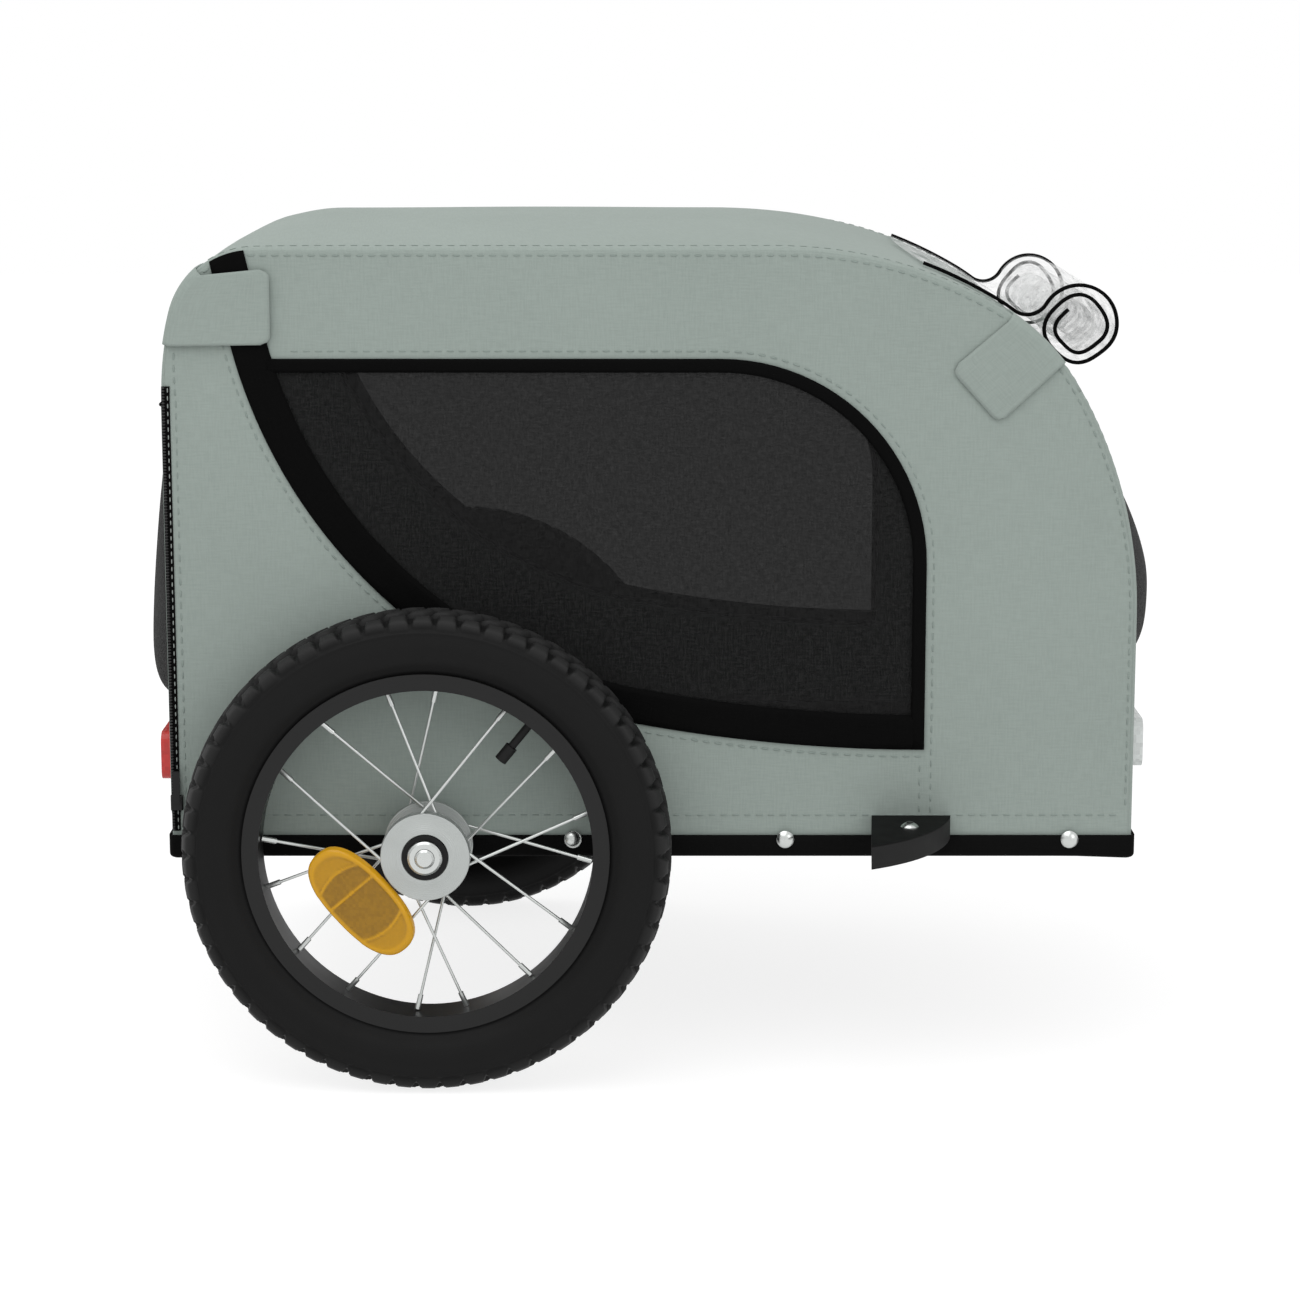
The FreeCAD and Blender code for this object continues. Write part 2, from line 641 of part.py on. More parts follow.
def front_door_border():
    """Tape round the front net, curved with the cabin's face, with a piped upper edge."""
    half = FRONT_DOOR_HALF
    outline = strip(cover_edges(0, first=SHOULDER_END, front_z=RAIL_FOOT_Z),
                    cover_edges(CLOTH, first=SHOULDER_END, front_z=RAIL_FOOT_Z))
    border = slab(outline, -half, half)
    border = border.common(block(V(0, -half, FRONT_DOOR_FOOT_Z), V(FRONT_X, half, FRONT_DOOR_HEAD_Z)))
    opening = half - FRONT_BORDER
    border = border.cut(block(V(0, -opening, FRONT_DOOR_FOOT_Z + FRONT_BORDER),
                              V(FRONT_X, opening, FRONT_DOOR_HEAD_Z - FRONT_BORDER)))
    bead = rod_y(BEAD_R, -half, half, face_x(FRONT_DOOR_HEAD_Z), FRONT_DOOR_HEAD_Z - BEAD_R)
    return border.fuse(bead)


def rear_zips():
    """Zips down both rear corners of the cabin's sides."""
    near = SIDE_Y - FIT / 2
    foot_z = HEM_Z + REAR_ZIP_RISE
    return pair(block(V(REAR_X, near - ZIP_T, foot_z), V(REAR_X + ZIP_W, near, foot_z + REAR_ZIP_LENGTH)))


def zip_slider():
    """Zip slider with its pull, at the lower end of the right zip."""
    body = block(V(-SLIDER_W / 2, -SLIDER_T, 0), V(SLIDER_W / 2, 0, SLIDER_L))
    outer = [edge for edge in body.Edges if begin(edge).y == finish(edge).y == -SLIDER_T]
    body = body.makeFillet(SLIDER_T / 3, outer)
    pull = block(V(-PULL_W / 2, -SLIDER_T - PULL_T, SLIDER_L / 2),
                 V(PULL_W / 2, -SLIDER_T, SLIDER_L / 2 + PULL_L))
    piece = body.fuse(pull)
    piece.translate(V(REAR_X + SLIDER_W / 2, SIDE_Y - FIT - ZIP_T, HEM_Z + REAR_ZIP_RISE))
    return piece


def rear_patch():
    """Patch over the upper end of the window's band, at the roof's rear corner."""
    near = TAPE_Y - FIT / 2
    x_rear = REAR_X + REAR_PATCH_INSET
    top = ROOF_Z - REAR_PATCH_DROP
    plate = block(V(x_rear, near - PATCH, top - REAR_PATCH_H), V(x_rear + REAR_PATCH_LENGTH, near, top))
    edges = cover_edges(0, rear_z=RAIL_FOOT_Z, front_z=RAIL_FOOT_Z)
    edges.append(line(finish(edges[-1]), begin(edges[0])))
    return plate.common(slab(loop(edges), near - PATCH, near))


def front_patch():
    """Square patch at the front shoulder, set square to the outline."""
    near = SIDE_Y - FIT / 2
    root = SHOULDER_CENTRE + facing(FRONT_PATCH_TURN) * (SHOULDER_R - FRONT_PATCH_INSET)
    along = facing(FRONT_PATCH_LEAN + 90) * (FRONT_PATCH_W / 2)
    inward = facing(FRONT_PATCH_LEAN) * -FRONT_PATCH_LENGTH
    corners = [root - along, root + along, root + along + inward, root - along + inward]
    return slab(polygon(corners), near - PATCH, near)


def roll_centres():
    """Centres of the roll's outer and inner half turns, with the roll resting on the shoulder."""
    small = ROLL_R - ROLL_PITCH / 2
    low = SHOULDER_CENTRE + facing(ROLL_TURN) * (SHOULDER_R + FIT + small + BINDING_T / 2)
    return low + V(0, 0, ROLL_PITCH / 2), low


def heading(vector):
    """Turn of a direction in the XZ plane."""
    return math.degrees(math.atan2(vector.x, vector.z))


def roll_edges(grow):
    """Flap and spiral of the rolled cover, moved off its middle line by a distance."""
    high, low = roll_centres()
    over = FIT + BINDING_T / 2 + FLAP_LIFT
    span = high - SHOULDER_CENTRE
    to_bend = SHOULDER_R + over + FLAP_BEND_R
    apart = ROLL_R + FLAP_BEND_R
    angle = math.acos((to_bend ** 2 + span.Length ** 2 - apart ** 2) / (2 * to_bend * span.Length))
    leave = heading(span) - math.degrees(angle)
    bend = SHOULDER_CENTRE + facing(leave) * to_bend
    meet = heading(bend - high)
    edges = [arc(BROW_CENTRE, BROW_R + over + grow, FLAP_SEAM_TURN, BROW_TURN),
             arc(SHOULDER_CENTRE, SHOULDER_R + over + grow, BROW_TURN, leave),
             arc(bend, FLAP_BEND_R - grow, leave + 180, meet + 180),
             arc(high, ROLL_R + grow, meet, 0)]
    for index in range(ROLL_HALF_TURNS):
        radius = ROLL_R - index * ROLL_PITCH / 2 + grow
        centre, first = (high, 0) if index % 2 == 0 else (low, 180)
        edges.append(arc(centre, radius, first, first + 180))
    return edges


def roll_gap():
    """Least gap between neighbouring turns of the roll, measured on points of its middle line."""
    points = []
    for edge in roll_edges(0)[-ROLL_HALF_TURNS:]:
        points.append(edge.discretize(Number=40)[:-1])
    gap = ROLL_R
    for inner, outer in zip(points[2:], points):
        gap = min(gap, min(p.distanceToPoint(q) for p in inner for q in outer))
    return gap - BINDING_T


def rain_cover():
    """Clear cover: a flap from its seam on the roof, rolled up on the shoulder."""
    wire = strip(roll_edges(ROLL_SHEET / 2), roll_edges(-ROLL_SHEET / 2))
    return slab(wire, -ROLL_HALF, ROLL_HALF)


def rain_cover_binding():
    """Tape on both edges of the clear cover."""
    wire = strip(roll_edges(BINDING_T / 2), roll_edges(-BINDING_T / 2))
    return pair(slab(wire, -ROLL_HALF - BINDING_W, -ROLL_HALF))


def dome_head():
    """Low domed head with its base at the origin, facing +Z."""
    rise = BOLT_HEAD_H - BOLT_RIM_H
    radius = (BOLT_HEAD_R ** 2 + rise ** 2) / (2 * rise)
    centre = V(0, 0, BOLT_HEAD_H - radius)
    edge_turn = math.degrees(math.asin(BOLT_HEAD_R / radius))
    rim = V(BOLT_HEAD_R, 0, 0)
    dome = arc(centre, radius, edge_turn, 0)
    edges = [line(V(0, 0, 0), rim), line(rim, begin(dome)), dome, line(finish(dome), V(0, 0, 0))]
    return Part.Face(loop(edges)).revolve(V(0, 0, 0), V(0, 0, 1), 360)


def rail_bolts():
    """Bolts through the floor cloth and the side panel into each rail."""
    length = 2 * LINING + RAIL_WALL + BOLT_TAIL
    bolts = []
    for x in BOLT_PLACES:
        bolt = dome_head().fuse(Part.makeCylinder(BOLT_R, length, V(0, 0, -length)))
        bolt.rotate(V(0, 0, 0), V(1, 0, 0), 90)
        bolt.translate(V(x, CLOTH_OUT_Y, AXLE_Z))
        bolts.append(pair(bolt))
    return Part.makeCompound(bolts)


def guard_plan(inset):
    """Plan of the wheel guard, set in by a wall: straight behind, bowed in front."""
    near = CLOTH_OUT_Y - FIT
    corner = V(GUARD_X + GUARD_SPAN, near, 0)
    root = V(GUARD_X, near, 0)
    tip = V(GUARD_X - GUARD_TIP_BACK, SIDE_Y - GUARD_REACH, 0)
    chord = tip - corner
    across = V(-chord.y, chord.x, 0).normalize()
    sink = math.sqrt(GUARD_NOSE_R ** 2 - chord.Length ** 2 / 4)
    centre = (tip + corner) * 0.5 - across * sink
    nose = Part.Circle(centre, V(0, 0, 1), GUARD_NOSE_R - inset).toShape()
    plan = Part.Face(Part.Wire(nose))
    back = (tip - root).normalize()
    square = V(-back.y, back.x, 0)
    start = root + square * inset - back * GUARD_REACH
    keep = polygon([start, start + back * (3 * GUARD_REACH),
                    start + back * (3 * GUARD_REACH) + square * (2 * GUARD_REACH),
                    start + square * (2 * GUARD_REACH)])
    outside = block(V(GUARD_X - GUARD_REACH, near - 2 * GUARD_REACH, -FIT),
                    V(GUARD_X + 2 * GUARD_REACH, near, FIT))
    return plan.common(Part.Face(keep)).common(outside)


def wheel_guard():
    """Moulded tray, open below and towards the cabin, that fends obstacles off the wheel."""
    outer = guard_plan(0).extrude(V(0, 0, GUARD_H))
    hollow = guard_plan(GUARD_WALL).extrude(V(0, 0, GUARD_H - GUARD_WALL))
    tray = outer.cut(hollow)
    tray.translate(V(0, 0, GUARD_TOP_Z - GUARD_H))
    boss_h = GUARD_TOP_Z - RAIL_TOP_Z
    boss = Part.makeCylinder(GUARD_BOSS_R, boss_h, V(GUARD_BOLT_X, GUARD_BOLT_Y, RAIL_TOP_Z))
    hole = Part.makeCylinder(BOLT_R + HOLE_PLAY, boss_h, V(GUARD_BOLT_X, GUARD_BOLT_Y, RAIL_TOP_Z))
    return tray.fuse(boss).cut(hole)


def guard_bolts():
    """Bolt down through each guard and its arm, with a nut below."""
    depth = GUARD_TOP_Z - RAIL_TOP_Z + GUARD_ARM_T
    shank = Part.makeCylinder(BOLT_R, depth + NUT_H, V(0, 0, -depth - NUT_H))
    bolt = dome_head().fuse(shank)
    corners = [V(NUT_R * cos(60 * i), NUT_R * sin(60 * i), 0) for i in range(6)]
    nut = Part.Face(polygon(corners)).extrude(V(0, 0, -NUT_H))
    nut = nut.cut(Part.makeCylinder(BOLT_R + RUNNING, NUT_H, V(0, 0, -NUT_H)))
    nut.translate(V(0, 0, -depth))
    pieces = Part.makeCompound([bolt, nut])
    pieces.translate(V(GUARD_BOLT_X, GUARD_BOLT_Y, GUARD_TOP_Z))
    return pair(pieces)


def socket_corners():
    """Corners of the tow bar socket, flush with the outer face of the left rail."""
    front = RAIL_END - SOCKET_FROM_FRONT
    low = V(front - SOCKET_LENGTH, -RAIL_OUT_Y - SOCKET_SIZE, RAIL_FOOT_Z - SOCKET_SIZE)
    return low, V(front, -RAIL_OUT_Y, RAIL_FOOT_Z)


def tow_bar_socket():
    """Square block under the left rail with a round bore for the tow bar."""
    low, high = socket_corners()
    middle = (low + high) * 0.5
    bore = Part.makeCylinder(SOCKET_BORE_R, SOCKET_LENGTH, V(low.x, middle.y, middle.z), V(1, 0, 0))
    return block(low, high).cut(bore)


def reflectors(x_face, outward, rise):
    """Pair of rounded oblong reflectors on the front or rear cloth."""
    low = V(min(0, outward * REFLECTOR_T), -REFLECTOR_W / 2, 0)
    lens = block(low, low + V(REFLECTOR_T, REFLECTOR_W, REFLECTOR_H))
    lens = lens.makeFillet(REFLECTOR_ROUND, [edge for edge in lens.Edges
                                             if begin(edge).y == finish(edge).y
                                             and begin(edge).z == finish(edge).z])
    lens.translate(V(x_face + outward * FIT, -REFLECTOR_OFF_CENTRE, HEM_Z + rise))
    return pair(lens)


def to_wheel(shape):
    """Move a piece built round the wheel's centre to the right wheel."""
    shape.translate(V(AXLE_X, WHEEL_Y, AXLE_Z))
    return shape


def tyre():
    """Tyre round its air tube, with its beads between the rim's flanges."""
    half = RIM_WIDTH / 2 - RIM_WALL - FIT
    toe = half - BEAD_WIDTH
    seat = RIM_INNER_R + RIM_WALL + FIT
    lip = RIM_FLANGE_R + RIM_WALL / 2
    wide = TYRE_WIDTH / 2
    shoulder = TYRE_R - SHOULDER_DROP
    side_mid = (lip + TYRE_BULGE_R) / 2
    edges = []
    for sign in (1, -1):
        points = [V(seat, sign * toe, 0), V(seat, sign * half, 0), V(lip, sign * half, 0)]
        edges += [line(points[0], points[1]), line(points[1], points[2])]
        swell = half + (wide - half) * SIDEWALL_SWELL
        edges.append(Part.Arc(points[2], V(side_mid, sign * swell, 0),
                              V(TYRE_BULGE_R, sign * wide, 0)).toShape())
        upper = wide - (wide - SHOULDER_HALF) * UPPER_SWELL
        edges.append(Part.Arc(V(TYRE_BULGE_R, sign * wide, 0),
                              V((TYRE_BULGE_R + shoulder) / 2, sign * upper, 0),
                              V(shoulder, sign * SHOULDER_HALF, 0)).toShape())
        throat = CAVITY_CENTRE_R - math.sqrt(CAVITY_R ** 2 - toe ** 2)
        edges.append(line(points[0], V(throat, sign * toe, 0)))
    edges.append(Part.Arc(V(shoulder, SHOULDER_HALF, 0), V(TYRE_R, 0, 0),
                          V(shoulder, -SHOULDER_HALF, 0)).toShape())
    edges.append(Part.Arc(V(throat, toe, 0), V(CAVITY_CENTRE_R + CAVITY_R, 0, 0),
                          V(throat, -toe, 0)).toShape())
    return to_wheel(turned(loop(edges)))


def inner_tube():
    """Air tube with its valve, which passes through the rim towards the hub."""
    radius = CAVITY_R - FIT
    tube = Part.makeTorus(CAVITY_CENTRE_R, radius, V(0, 0, 0), V(0, 1, 0))
    way = spoke_way(VALVE_ANGLE)
    tip = RIM_INNER_R - VALVE_REACH
    stem = rod(VALVE_STEM_R, way * tip, way * (CAVITY_CENTRE_R - radius + 2 * TUBE_WALL))
    cap_tip = tip - VALVE_CAP_PROUD
    cap = rod(VALVE_CAP_R, way * cap_tip, way * (cap_tip + VALVE_CAP_L))
    air = Part.makeTorus(CAVITY_CENTRE_R, radius - TUBE_WALL, V(0, 0, 0), V(0, 1, 0))
    return to_wheel(tube.fuse([stem, cap]).cut(air))


def rim():
    """Channel rim with a hole for the valve."""
    wide = RIM_WIDTH / 2
    floor = RIM_INNER_R + RIM_WALL
    points = [(RIM_INNER_R, -wide), (RIM_FLANGE_R, -wide), (RIM_FLANGE_R, RIM_WALL - wide),
              (floor, RIM_WALL - wide), (floor, wide - RIM_WALL), (RIM_FLANGE_R, wide - RIM_WALL),
              (RIM_FLANGE_R, wide), (RIM_INNER_R, wide)]
    ring = turned(polygon([V(r, y, 0) for r, y in points]))
    way = spoke_way(VALVE_ANGLE)
    hole = rod(VALVE_STEM_R + HOLE_PLAY, way * (RIM_INNER_R - RIM_WALL), way * (floor + RIM_WALL))
    return to_wheel(ring.cut(hole))


def spoke_line(rim_angle, lead, flange):
    """Ends of a spoke: beside its hub flange, and at the rim's inner wall."""
    if lead > 0:
        side_y = HUB_FLANGE_OUT + SPOKE_STANDOFF
    else:
        side_y = HUB_FLANGE_OUT - HUB_FLANGE_T - SPOKE_R - SPOKE_CLEAR
    hub_end = spoke_way(rim_angle + lead) * SPOKE_CIRCLE_R + V(0, flange * side_y, 0)
    return hub_end, spoke_way(rim_angle) * (RIM_INNER_R - NIPPLE_GAP)


def spokes():
    """Crossed wire spokes, each ending in its nipple."""
    pieces = []
    for quarter in range(SPOKE_QUARTERS):
        for angle, lead, flange in zip(SPOKE_RIM_ANGLES, SPOKE_LEADS, SPOKE_FLANGES):
            hub_end, rim_end = spoke_line(angle + 360 / SPOKE_QUARTERS * quarter, lead, flange)
            way = (rim_end - hub_end).normalize()
            joint = rim_end - way * NIPPLE_L
            pieces.append(rod(SPOKE_R, hub_end, joint).fuse(rod(NIPPLE_R, joint, rim_end)))
    return to_wheel(Part.makeCompound(pieces))


def hub():
    """Flanged hub, bored for a bearing at each end."""
    end = HUB_LENGTH / 2
    out = HUB_FLANGE_OUT
    inner = out - HUB_FLANGE_T
    seat = end - BEARING_W
    points = [(HUB_BOSS_R, -end), (HUB_BOSS_R, -out), (HUB_FLANGE_R, -out), (HUB_FLANGE_R, -inner),
              (HUB_BARREL_R, -inner), (HUB_BARREL_R, inner), (HUB_FLANGE_R, inner), (HUB_FLANGE_R, out),
              (HUB_BOSS_R, out), (HUB_BOSS_R, end), (BEARING_R, end), (BEARING_R, seat),
              (HUB_BORE_R, seat), (HUB_BORE_R, -seat), (BEARING_R, -seat), (BEARING_R, -end)]
    return to_wheel(turned(polygon([V(r, y, 0) for r, y in points])))


def bearings():
    end = HUB_LENGTH / 2
    rings = []
    for low in (-end, end - BEARING_W):
        ring = rod_y(BEARING_R - RUNNING, low, low + BEARING_W, 0, 0)
        rings.append(ring.cut(rod_y(AXLE_R + RUNNING, low, low + BEARING_W, 0, 0)))
    return to_wheel(Part.makeCompound(rings))


def seal():
    """Rubber ring on the hub's outer face, round the axle's head."""
    low = -HUB_LENGTH / 2 - SEAL_T
    ring = rod_y(SEAL_R, low, low + SEAL_T, 0, 0)
    return to_wheel(ring.cut(rod_y(HEAD_R + FIT, low, low + SEAL_T, 0, 0)))


def wheel_reflector():
    """Oblong reflector clipped outside the spokes, leaning with them."""
    long, wide, thick = SPOKE_REFLECTOR_L, SPOKE_REFLECTOR_W, SPOKE_REFLECTOR_T
    plate = block(V(-long / 2, -thick, -wide / 2), V(long / 2, 0, wide / 2))
    upright = [edge for edge in plate.Edges if begin(edge).x == finish(edge).x
               and begin(edge).z == finish(edge).z]
    plate = plate.makeFillet(SPOKE_REFLECTOR_ROUND, upright)
    slope = math.degrees(math.atan2(HUB_FLANGE_OUT, RIM_INNER_R - SPOKE_CIRCLE_R))
    plate.rotate(V(0, 0, 0), V(1, 0, 0), -slope)
    plate.rotate(V(0, 0, 0), V(0, 1, 0), 90 - SPOKE_REFLECTOR_LEAN)
    centre = spoke_way(SPOKE_REFLECTOR_ANGLE) * SPOKE_REFLECTOR_R
    plate.translate(centre + V(0, -SPOKE_REFLECTOR_LIFT, 0))
    return to_wheel(plate)


def axle():
    """Quick-release axle: a pin with a bored head for its button."""
    face = -HUB_LENGTH / 2 - FIT
    out = face - HEAD_H
    floor = out + BUTTON_SINK
    points = [(AXLE_R, AXLE_REACH), (AXLE_R, face), (HEAD_R, face), (HEAD_R, out + HEAD_BEVEL),
              (HEAD_R - HEAD_BEVEL, out), (BUTTON_R + FIT, out), (BUTTON_R + FIT, floor),
              (SPRING_BORE_R, floor), (SPRING_BORE_R, floor + SPRING_BORE_L),
              (0, floor + SPRING_BORE_L), (0, AXLE_REACH)]
    return to_wheel(turned(polygon([V(r, y, 0) for r, y in points])))


def button_cap_out():
    """Outer face of the button, from the wheel's middle."""
    return -HUB_LENGTH / 2 - FIT - HEAD_H - BUTTON_PROUD


def axle_button():
    out = button_cap_out()
    back = out + BUTTON_CAP_H
    points = [(0, out), (BUTTON_R - HEAD_BEVEL, out), (BUTTON_R, out + HEAD_BEVEL), (BUTTON_R, back),
              (BUTTON_STEM_R, back), (BUTTON_STEM_R, back + BUTTON_STEM_L), (0, back + BUTTON_STEM_L)]
    return to_wheel(turned(polygon([V(r, y, 0) for r, y in points])))


def button_spring():
    """Coil between the button's stem and the floor of the axle's bore."""
    start = button_cap_out() + BUTTON_CAP_H + BUTTON_STEM_L + SPRING_WIRE_R
    floor = -HUB_LENGTH / 2 - FIT - HEAD_H + BUTTON_SINK + SPRING_BORE_L
    length = floor - start - 2 * SPRING_WIRE_R
    radius = SPRING_BORE_R - SPRING_WIRE_R - FIT / 2
    path = Part.Wire(Part.makeHelix(length / SPRING_TURNS, length, radius).Edges)
    section = Part.Wire(Part.makeCircle(SPRING_WIRE_R, V(radius, 0, 0), V(0, 1, 0)))
    coil = path.makePipeShell([section], True, True)
    coil.rotate(V(0, 0, 0), V(1, 0, 0), -90)
    coil.translate(V(0, start + SPRING_WIRE_R / 2, 0))
    return to_wheel(coil)


def build():
    """All the pieces by name; what is made for the right side is mirrored to the left."""
    sided = {
        "rail": rail(), "hoop": hoop(), "side_panel": side_panel(), "window_mesh": window_mesh(),
        "window_trim": window_trim(), "zip_slider": zip_slider(), "axle": axle(),
        "axle_button": axle_button(), "button_spring": button_spring(), "tyre": tyre(),
        "inner_tube": inner_tube(), "rim": rim(), "spokes": spokes(), "hub": hub(),
        "bearings": bearings(), "seal": seal(), "wheel_reflector": wheel_reflector(),
    }
    front_tube = cross_tube()
    pieces = {
        "front_cross_tube": front_tube, "rear_cross_tube": front_tube.mirror(V(0, 0, 0), V(1, 0, 0)),
        "axle_cross_tube": axle_cross_tube(), "floor_board": floor_board(), "floor_cloth": floor_cloth(),
        "front_roof_bar": front_roof_bar(), "rear_roof_bar": rear_roof_bar(), "roof_panel": roof_panel(),
        "rear_panel": rear_panel(), "front_panel": front_panel(), "rear_door_mesh": rear_door_mesh(),
        "rear_door_border": rear_door_border(), "front_door_mesh": front_door_mesh(),
        "front_door_border": front_door_border(), "rear_zips": rear_zips(),
        "rear_corner_patches": pair(rear_patch()), "front_corner_patches": pair(front_patch()),
        "rain_cover": rain_cover(), "rain_cover_binding": rain_cover_binding(),
        "rail_bolts": rail_bolts(), "wheel_guards": pair(wheel_guard()), "guard_bolts": guard_bolts(),
        "tow_bar_socket": tow_bar_socket(),
        "rear_reflectors": reflectors(REAR_X, -1, REAR_REFLECTOR_RISE),
        "front_reflectors": reflectors(FRONT_X, 1, FRONT_REFLECTOR_RISE),
    }
    for name, shape in sided.items():
        pieces["right_" + name] = shape
        pieces["left_" + name] = mirrored(shape)
    return pieces


def main():
    os.makedirs("parts", exist_ok=True)
    print("least gap between turns of the rolled cover: %.2f mm" % roll_gap())
    for name, shape in build().items():
        shape.exportStep("parts/" + name + ".step")


main()
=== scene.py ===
"""Looks of a dog bike trailer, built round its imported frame. Metres; +X is forward, +Y left, +Z up."""

import bmesh
import bpy
import numpy as np
from bpy.props import FloatProperty, FloatVectorProperty, IntProperty, PointerProperty
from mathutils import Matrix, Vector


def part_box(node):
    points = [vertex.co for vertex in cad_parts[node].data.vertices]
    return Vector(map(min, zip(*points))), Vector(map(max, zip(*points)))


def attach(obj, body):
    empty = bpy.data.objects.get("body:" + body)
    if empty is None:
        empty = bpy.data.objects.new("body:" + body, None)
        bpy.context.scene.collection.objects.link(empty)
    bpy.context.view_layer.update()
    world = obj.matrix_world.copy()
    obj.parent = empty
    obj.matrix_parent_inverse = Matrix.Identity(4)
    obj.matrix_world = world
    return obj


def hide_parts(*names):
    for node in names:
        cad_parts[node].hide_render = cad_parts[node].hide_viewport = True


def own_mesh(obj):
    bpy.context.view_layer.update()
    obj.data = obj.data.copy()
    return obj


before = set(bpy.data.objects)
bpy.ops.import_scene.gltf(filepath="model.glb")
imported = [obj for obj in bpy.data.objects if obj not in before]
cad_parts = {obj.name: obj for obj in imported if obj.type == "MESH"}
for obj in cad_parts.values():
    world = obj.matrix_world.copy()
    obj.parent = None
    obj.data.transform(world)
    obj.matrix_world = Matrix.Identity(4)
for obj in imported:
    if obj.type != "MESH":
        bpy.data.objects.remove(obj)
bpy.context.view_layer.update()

bl_info = {
    "name": "Dog bike trailer",
    "version": (1, 0, 0),
    "blender": (4, 5, 0),
    "location": "3D View > Sidebar > Trailer",
    "description": "Dresses the trailer's frame in cloth, nets, tyres and finishes",
    "category": "Object",
}

SIDES = {"right": -1, "left": 1}

# Cabin, from the frame
REAR_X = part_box("rear_panel")[0].x
FRONT_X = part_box("front_panel")[1].x
HALF_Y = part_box("left_side_panel")[1].y
FOOT_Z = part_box("right_side_panel")[0].z
HEM_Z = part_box("floor_cloth")[1].z
ROOF_CROWN = 0.015      # rise of the roof's middle over its edges
CROWN_START = 0.012     # ahead of the rear, where the crown begins
CROWN_RISE = 0.100      # length over which it grows
ROOF_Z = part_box("roof_panel")[1].z - ROOF_CROWN
CABIN_MIDDLE = np.array([0.0, 0.0, (HEM_Z + ROOF_Z) / 2])

# Outline of the cover: turn from, turn to (degrees, -90 rearward, 0 up, 90 forward), radius
REAR_ARCS = ((-90, -75, 0.240), (-75, 0, 0.062))
FRONT_ARCS = ((0, 30, 0.310), (30, 60, 0.165), (60, 90, 0.330))
BROW_R = FRONT_ARCS[0][2]
BROW_TURN, SHOULDER_TURN, SHOULDER_R = FRONT_ARCS[1]
ARC_POINTS = 24
FLAT_POINTS = 40
ROOF_LAP = 0.002        # roof cloth below the rear's first arc
LINING = 0.0023         # side cloth inside the roof's outline
EDGE_R = 0.0030         # cloth turned over a sewn edge
EDGE_STEP = 0.0012      # between the points of a turned edge
THREAD_LIFT = 0.0002    # thread above its cloth

# Side window
WINDOW_TOP_Z = ROOF_Z - 0.079
WINDOW_FRONT_X = FRONT_X - 0.154
WINDOW_SILL_Z = HEM_Z + 0.062
WINDOW_CORNER_R = 0.150
WINDOW_COUNTS = (29, 25, 15)    # points of its top, its rounded corner and its front edge
SILL_R = 1.144          # wide arc under the window, up to SILL_TURN degrees
SILL_TURN = 10.5
BAND_R = 0.372          # tighter arc behind it, up to BAND_TURN degrees
BAND_TURN = 77.0
BAND_END = 89           # degrees, past the window's top
BAND_WIDTH = 0.026
TAPE_WIDTH = 0.010
SIDE_CENTRE = np.array([0.0, 0.40])     # x and z in the window, from which rays meet its edge

# Wheels, from the frame
WHEEL_LOW, WHEEL_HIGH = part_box("right_tyre")
AXLE_X = (WHEEL_LOW.x + WHEEL_HIGH.x) / 2
AXLE_Z = (WHEEL_LOW.z + WHEEL_HIGH.z) / 2
WHEEL_Y = -(WHEEL_LOW.y + WHEEL_HIGH.y) / 2
TYRE_R = (WHEEL_HIGH.x - WHEEL_LOW.x) / 2

# Stock of the new pieces: finish and slot
GREEN_CLOTH = ("woven polyester grey-green", "green_cloth")
BLACK_CLOTH = ("woven polyester black", "black_cloth")
BLACK_TAPE = ("webbing tape black", "black_tape")
BLACK_NET = ("knitted net black", "black_net")
GREEN_THREAD = ("polyester thread grey-green", "green_cloth")
PALE_THREAD = ("polyester thread pale", "black_tape")
ZIP_COIL = ("nylon zip coil black", "black_plastic")
CLEAR_SHEET = ("clear PVC sheet", "clear_sheet")
TYRE_RUBBER = ("moulded tyre rubber", "tyre_rubber")
HUB_ALLOY = ("turned hub alloy", "hub_alloy")
AMBER_LENS = ("amber acrylic lens", "amber_lens")
ZINC_STEEL = ("zinc-plated steel", "zinc_steel")
BLACK_STEEL = ("black enamel on steel", "black_steel")


def linear(code):
    """sRGB hex colour as linear red, green and blue."""
    value = np.array([int(code[i:i + 2], 16) for i in (1, 3, 5)]) / 255
    return tuple(np.where(value <= 0.04045, value / 12.92, ((value + 0.055) / 1.055) ** 2.4))


def colour(name, code, words):
    """Colour that a user may change."""
    return FloatVectorProperty(name=name, description=words, subtype="COLOR", size=3, min=0, max=1,
                               default=linear(code))


def length(name, metres, words):
    """Size that a user may change."""
    return FloatProperty(name=name, description=words, default=metres, min=0, unit="LENGTH", precision=4)


